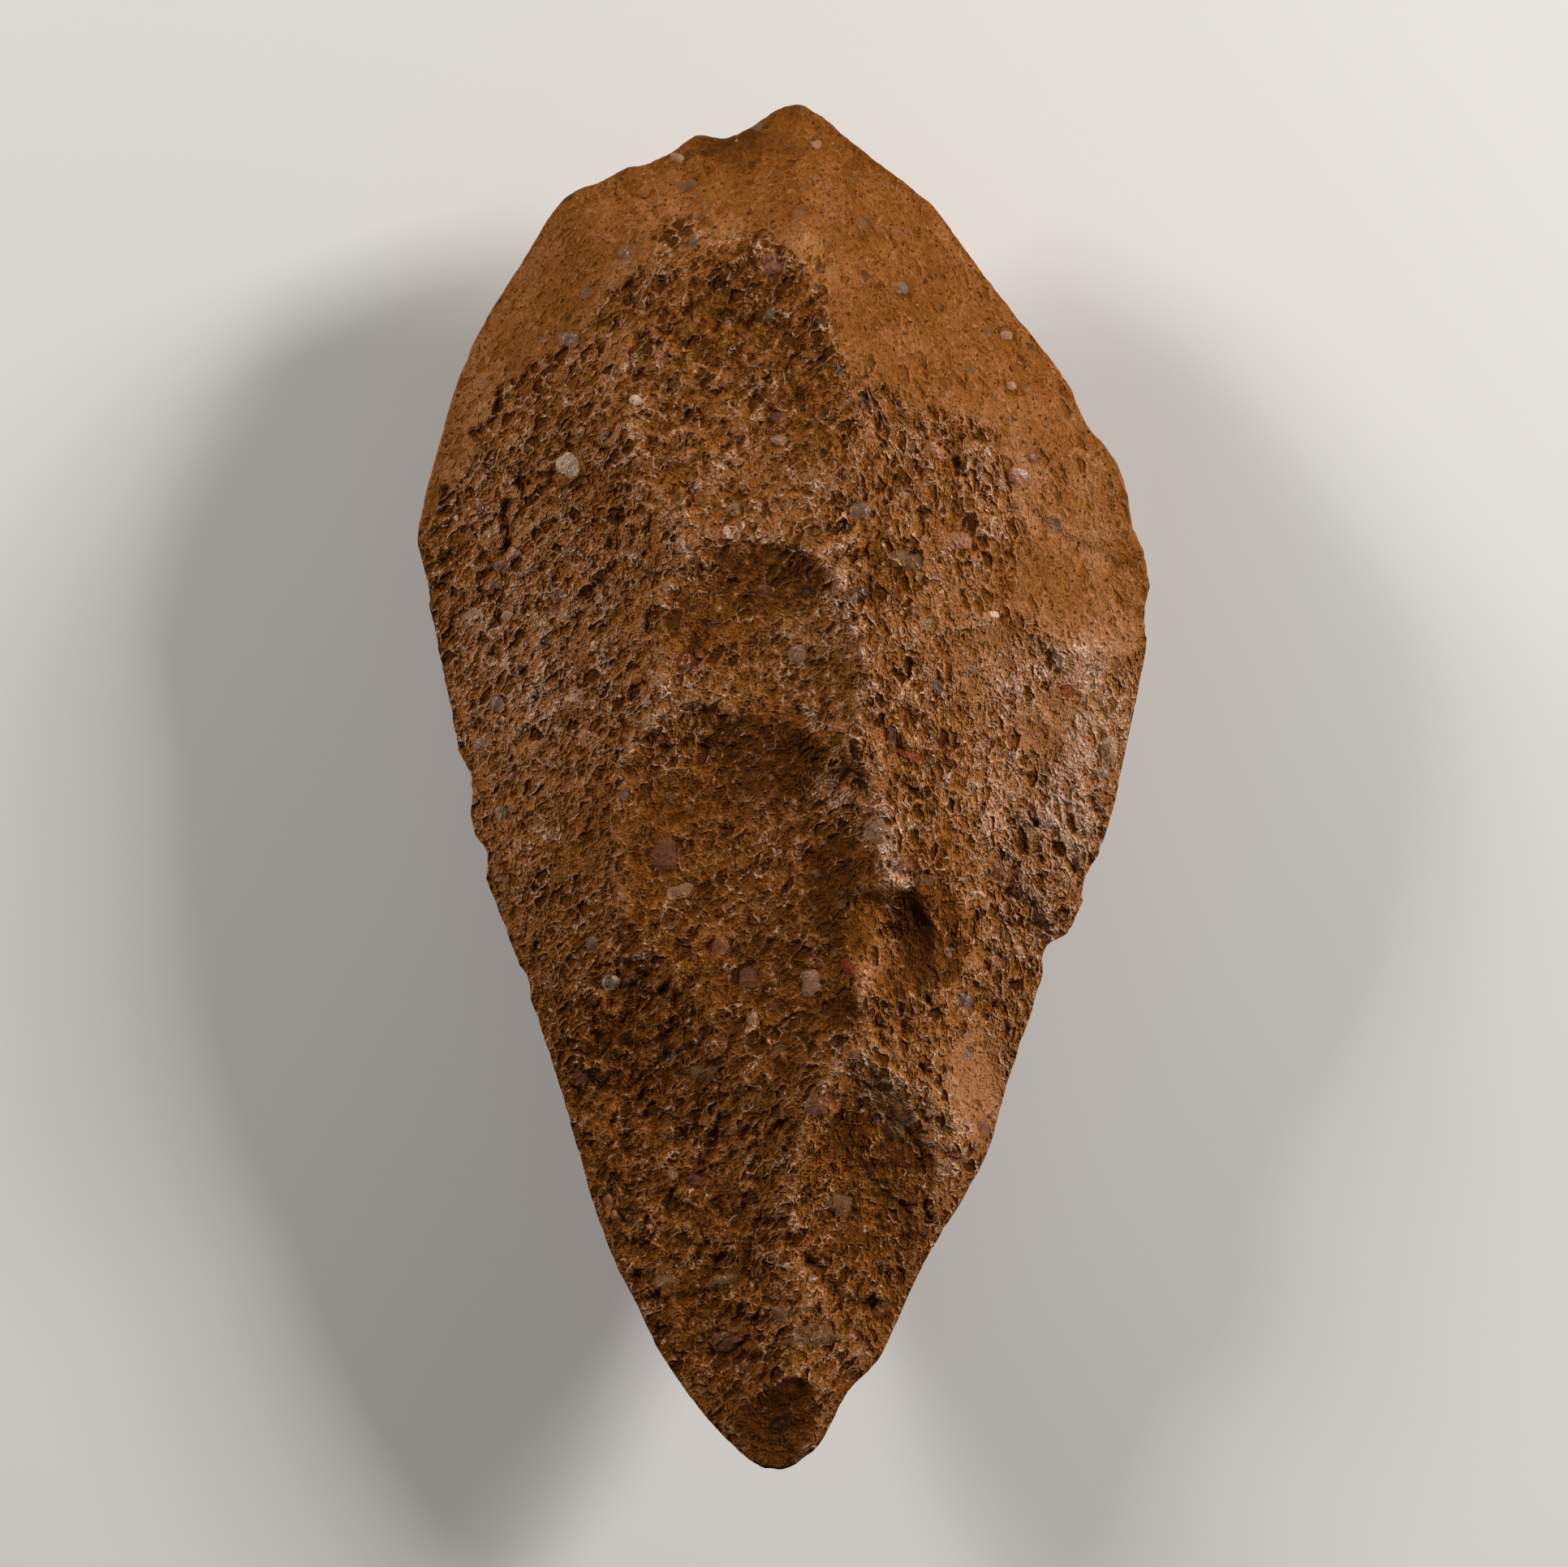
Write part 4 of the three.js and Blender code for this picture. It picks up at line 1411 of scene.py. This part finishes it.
    def upper_face(self, x: Array, y: Array, distance: Array, level: Array) -> Face:
        """The crested face with its relief, grooves and pebbles.

        Args:
            x: Places, in mm.
            y: Places, in mm.
            distance: Distance to the edge, in mm.
            level: Level of the edge, in mm.

        Returns:
            Heights over the resting plane in mm, and the values kept on the mesh.
        """
        ground = self.front.surface(x, y)
        fade = ease(0, self.RELIEF_FADE, distance)
        rough = Relief(self.noise, Layer.FRONT_RELIEF).height(x, y, ground)
        height = ground.height + fade * rough
        for groove in GROOVES:
            height = height - groove.cut(x + 0.4 * np.sin(1.1 * y), y + 0.3 * np.sin(0.9 * x)) * fade
        pebbles = Pebbles(self.noise, PEBBLES)
        height = np.maximum(pebbles.press_in(x, y, height), self.least(distance))
        marks = {
            "grain": ground.grain,
            "tone": ground.tone,
            "hollow_shade_and_ridge_light": self.hollow_shade_and_ridge_light(height),
            "side": ground.side,
            "pebble_inside": pebbles.inside,
            "pebble_colour": pebbles.colour,
        }
        return level + height, marks

    def lower_face(self, x: Array, y: Array, distance: Array, level: Array) -> Face:
        """The plainer face: relief only cuts in, and nothing reaches under the resting plane.

        Args:
            x: Places, in mm.
            y: Places, in mm.
            distance: Distance to the edge, in mm.
            level: Level of the edge, in mm.

        Returns:
            Heights over the resting plane in mm, and the values kept on the mesh.
        """
        ground = self.back.surface(x, y)
        rough = Relief(self.noise, Layer.BACK_RELIEF).height(x, y, ground)
        cut_in = np.minimum(rough - self.UNDERCUT * ground.grain, 0)
        cut_in = cut_in * ease(0, self.RELIEF_FADE, distance)
        height = np.maximum(ground.height + cut_in, self.least(distance))
        facet = ease(-0.6, 0.3, ground.height - level)
        resting = level + self.FACET_ROUGHNESS * cut_in
        height = np.where(ground.height > level, np.minimum(height, resting), height)
        marks = {
            "grain": ground.grain * (1 - 0.3 * facet),
            "tone": ground.tone,
            "hollow_shade_and_ridge_light": self.hollow_shade_and_ridge_light(height),
            "side": ground.side,
            "pebble_inside": np.full_like(x, Pebbles.NO_PEBBLE),
            "pebble_colour": np.zeros((*x.shape, 3)),
        }
        return np.maximum(0, level - height), marks

    def hollow_shade_and_ridge_light(self, height: Array) -> Array:
        """How far each point stands over (+) or under (-) the mean of the grid about it, in mm,
        near by and farther off. It only colours the stone: painted shade in hollows and painted highlight
        on ridges, with some deep patina and worn edges."""
        return sum(share * (height - soften(height, steps)) for share, steps in self.HOLLOWS)

    @staticmethod
    def upper_faces(number: Array) -> Array:
        """Two triangles for each cell. The diagonal points at the nearest corner of the grid, so
        that no triangle has all its points on the edge.

        Args:
            number: The points' numbers, row by row.

        Returns:
            Triangles, anticlockwise from above.
        """
        a, b, c, d = number[:-1, :-1], number[:-1, 1:], number[1:, 1:], number[1:, :-1]
        rows, columns = a.shape
        j, i = np.mgrid[0:rows, 0:columns]
        straight = (2 * i < columns) == (2 * j < rows)
        p, q, r, s = (np.where(straight, one, two) for one, two in ((a, b), (b, c), (c, d), (d, a)))
        return np.stack([np.stack([p, q, r], -1), np.stack([p, r, s], -1)], 2).reshape(-1, 3)

    @staticmethod
    def lower_faces(number: Array, under: Array) -> Array:
        """Triangles of the lower face. Its cells are twice as wide, so each cell at the edge also
        takes in the point of the upper face's edge between its own two.

        Args:
            number: The upper face's numbers.
            under: The lower face's numbers, with the upper face's on the edge.

        Returns:
            Triangles, anticlockwise from below.
        """
        inner = under[1:-1, 1:-1]
        a, b, c, d = inner[:-1, :-1], inner[:-1, 1:], inner[1:, 1:], inner[1:, :-1]
        found = [np.stack(cell, -1).reshape(-1, 3) for cell in ((a, c, b), (a, d, c))]
        # Each side in turn, walked anticlockwise from above: the edge's points and the row inside.
        sides = (
            (number[0, :], under[1, :]),
            (number[:, -1], under[:, -2]),
            (number[-1, ::-1], under[-2, ::-1]),
            (number[::-1, 0], under[::-1, 1]),
        )
        for rim, row in sides:
            first, middle, last = rim[2:-4:2], rim[3:-2:2], rim[4:-1:2]
            left, right = row[1:-2], row[2:-1]
            for triangle in ((first, left, middle), (left, right, middle), (middle, right, last)):
                found.append(np.stack(triangle, -1))
        corners = zip(sides, sides[1:] + sides[:1])
        for (rim, row), (next_rim, _) in corners:
            hub = row[-2]
            fan = [rim[-3], rim[-2], rim[-1], next_rim[1], next_rim[2]]
            found.append(np.array([(hub, q, p) for p, q in zip(fan, fan[1:])]))
        return np.concatenate(found)

    @staticmethod
    def mesh_object(name: str, points: Array, triangles: Array) -> bpy.types.Object:
        """Makes a smooth-shaded mesh object at the origin.

        Args:
            name: The object's name.
            points: Points, in metres.
            triangles: Point numbers, three to a face.

        Returns:
            The object, linked to the scene.
        """
        mesh = bpy.data.meshes.new(name)
        mesh.vertices.add(len(points))
        mesh.vertices.foreach_set("co", points.astype(np.float32).ravel())
        mesh.loops.add(triangles.size)
        mesh.loops.foreach_set("vertex_index", triangles.astype(np.int32).ravel())
        mesh.polygons.add(len(triangles))
        mesh.polygons.foreach_set("loop_start", np.arange(0, triangles.size, 3, dtype=np.int32))
        mesh.update(calc_edges=True)
        mesh.validate()
        mesh.shade_smooth()
        made = bpy.data.objects.new(name, mesh)
        bpy.context.scene.collection.objects.link(made)
        return made

    @staticmethod
    def mark(mesh: bpy.types.Mesh, name: str, values: Array) -> None:
        """Keeps a number or a colour on each point of the mesh."""
        if values.shape[1] == 1:
            kept = mesh.attributes.new(name, "FLOAT", "POINT")
            kept.data.foreach_set("value", values.astype(np.float32).ravel())
        else:
            kept = mesh.attributes.new(name, "FLOAT_VECTOR", "POINT")
            kept.data.foreach_set("vector", values.astype(np.float32).ravel())

    def bake_map(self, mesh: bpy.types.Mesh, upper_count: int) -> None:
        """Lays the two faces side by side as a UV map: each is seen straight on, with the lower
        one turned over.

        Args:
            mesh: The stone's mesh, its upper triangles first.
            upper_count: How many triangles belong to the upper face.
        """
        points = np.empty(len(mesh.vertices) * 3, np.float32)
        mesh.vertices.foreach_get("co", points)
        corners = np.empty(len(mesh.loops), np.int32)
        mesh.loops.foreach_get("vertex_index", corners)
        plan = points.reshape(-1, 3)[corners, :2] / MM / (self.MAP_SPAN * self.size[0])
        is_upper = np.arange(len(corners)) < 3 * upper_count
        u = np.where(is_upper, 0.25 + plan[:, 0], 0.75 - plan[:, 0])
        layer = mesh.uv_layers.new(name="OFBake")
        layer.data.foreach_set("uv", np.stack([u, 0.5 + plan[:, 1]], -1).astype(np.float32).ravel())


@dataclass(frozen=True)
class Lamp:
    """A square area lamp that faces the axe: bearing from +X and rise over the floor in degrees,
    reach and size in metres, power in watts."""

    name: str
    bearing: float
    rise: float
    reach: float
    size: float
    power: float


@dataclass
class Studio:
    """Pale floor, soft light and a camera that looks straight down on the axe."""

    LAMPS: ClassVar[tuple[Lamp, ...]] = (
        Lamp("key", 24, 24, 1.0, 0.24, 13.0),
        Lamp("second", 150, 24, 1.0, 0.24, 7.7),
    )
    FILL: ClassVar[float] = 0.07
    AIM: ClassVar[tuple[float, float, float]] = (0, 0, 0.02)

    floor_size: float = 3.0
    focal: float = 100.0
    sensor: float = 36.0
    frame_width: float = 0.2065
    look_at: tuple[float, float, float] = (0.0001, 0.0005, 0.022)

    def floor(self) -> None:
        """Lays the floor just under the axe."""
        half = self.floor_size / 2
        points = np.array([(-half, -half, 0), (half, -half, 0), (half, half, 0), (-half, half, 0)], float)
        floor = HandAxe.mesh_object("floor", points, np.array([(0, 1, 2), (0, 2, 3)]))
        material = bpy.data.materials.new("pale_floor")
        material.use_nodes = True
        shade = material.node_tree.nodes["Principled BSDF"]
        shade.inputs["Base Color"].default_value = (*linear(222, 218, 212), 1)
        shade.inputs["Roughness"].default_value = 0.85
        floor.data.materials.append(material)

    def hang(self, lamp: Lamp) -> None:
        """Hangs a lamp, facing the axe."""
        data = bpy.data.lights.new(lamp.name, "AREA")
        data.shape = "SQUARE"
        data.size = lamp.size
        data.energy = lamp.power
        hung = bpy.data.objects.new(lamp.name, data)
        rise, turn = math.radians(lamp.rise), math.radians(lamp.bearing)
        away = Vector((math.cos(rise) * math.cos(turn), math.cos(rise) * math.sin(turn), math.sin(rise)))
        hung.location = lamp.reach * away
        hung.rotation_euler = (Vector(self.AIM) - hung.location).to_track_quat("-Z", "Y").to_euler()
        bpy.context.scene.collection.objects.link(hung)

    def lights(self) -> None:
        """Two low lamps from the butt's side, the right one stronger, and a weak even fill."""
        for lamp in self.LAMPS:
            self.hang(lamp)
        world = bpy.data.worlds.new("studio")
        world.use_nodes = True
        background = world.node_tree.nodes["Background"]
        background.inputs["Color"].default_value = (1, 1, 1, 1)
        background.inputs["Strength"].default_value = self.FILL
        bpy.context.scene.world = world

    def camera(self) -> None:
        """Hangs the camera over the axe, with the butt at the top of the frame."""
        data = bpy.data.cameras.new("camera")
        data.lens = self.focal
        data.sensor_width = self.sensor
        data.sensor_fit = "HORIZONTAL"
        data.clip_start = 0.01
        camera = bpy.data.objects.new("camera", data)
        x, y, z = self.look_at
        camera.location = (x, y, z + self.frame_width * self.focal / self.sensor)
        bpy.context.scene.collection.objects.link(camera)
        bpy.context.scene.camera = camera

    def set_up(self) -> None:
        """Makes the floor, the lights and the camera."""
        self.floor()
        self.lights()
        self.camera()
        bpy.context.scene.view_settings.view_transform = "Standard"


def main() -> None:
    """Builds the axe and the studio."""
    logging.basicConfig(level=logging.INFO, format="%(name)s: %(message)s")
    stone = HandAxe().build()
    stone.data.materials.append(StoneMaterial(StoneFinish(), FineRelief(), PatinaAndShading()).build())
    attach(stone, "root")
    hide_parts("hand_axe")
    log.info("%s: %d triangles", stone.name, len(stone.data.polygons))
    Studio().set_up()


if __name__ == "__main__":
    main()
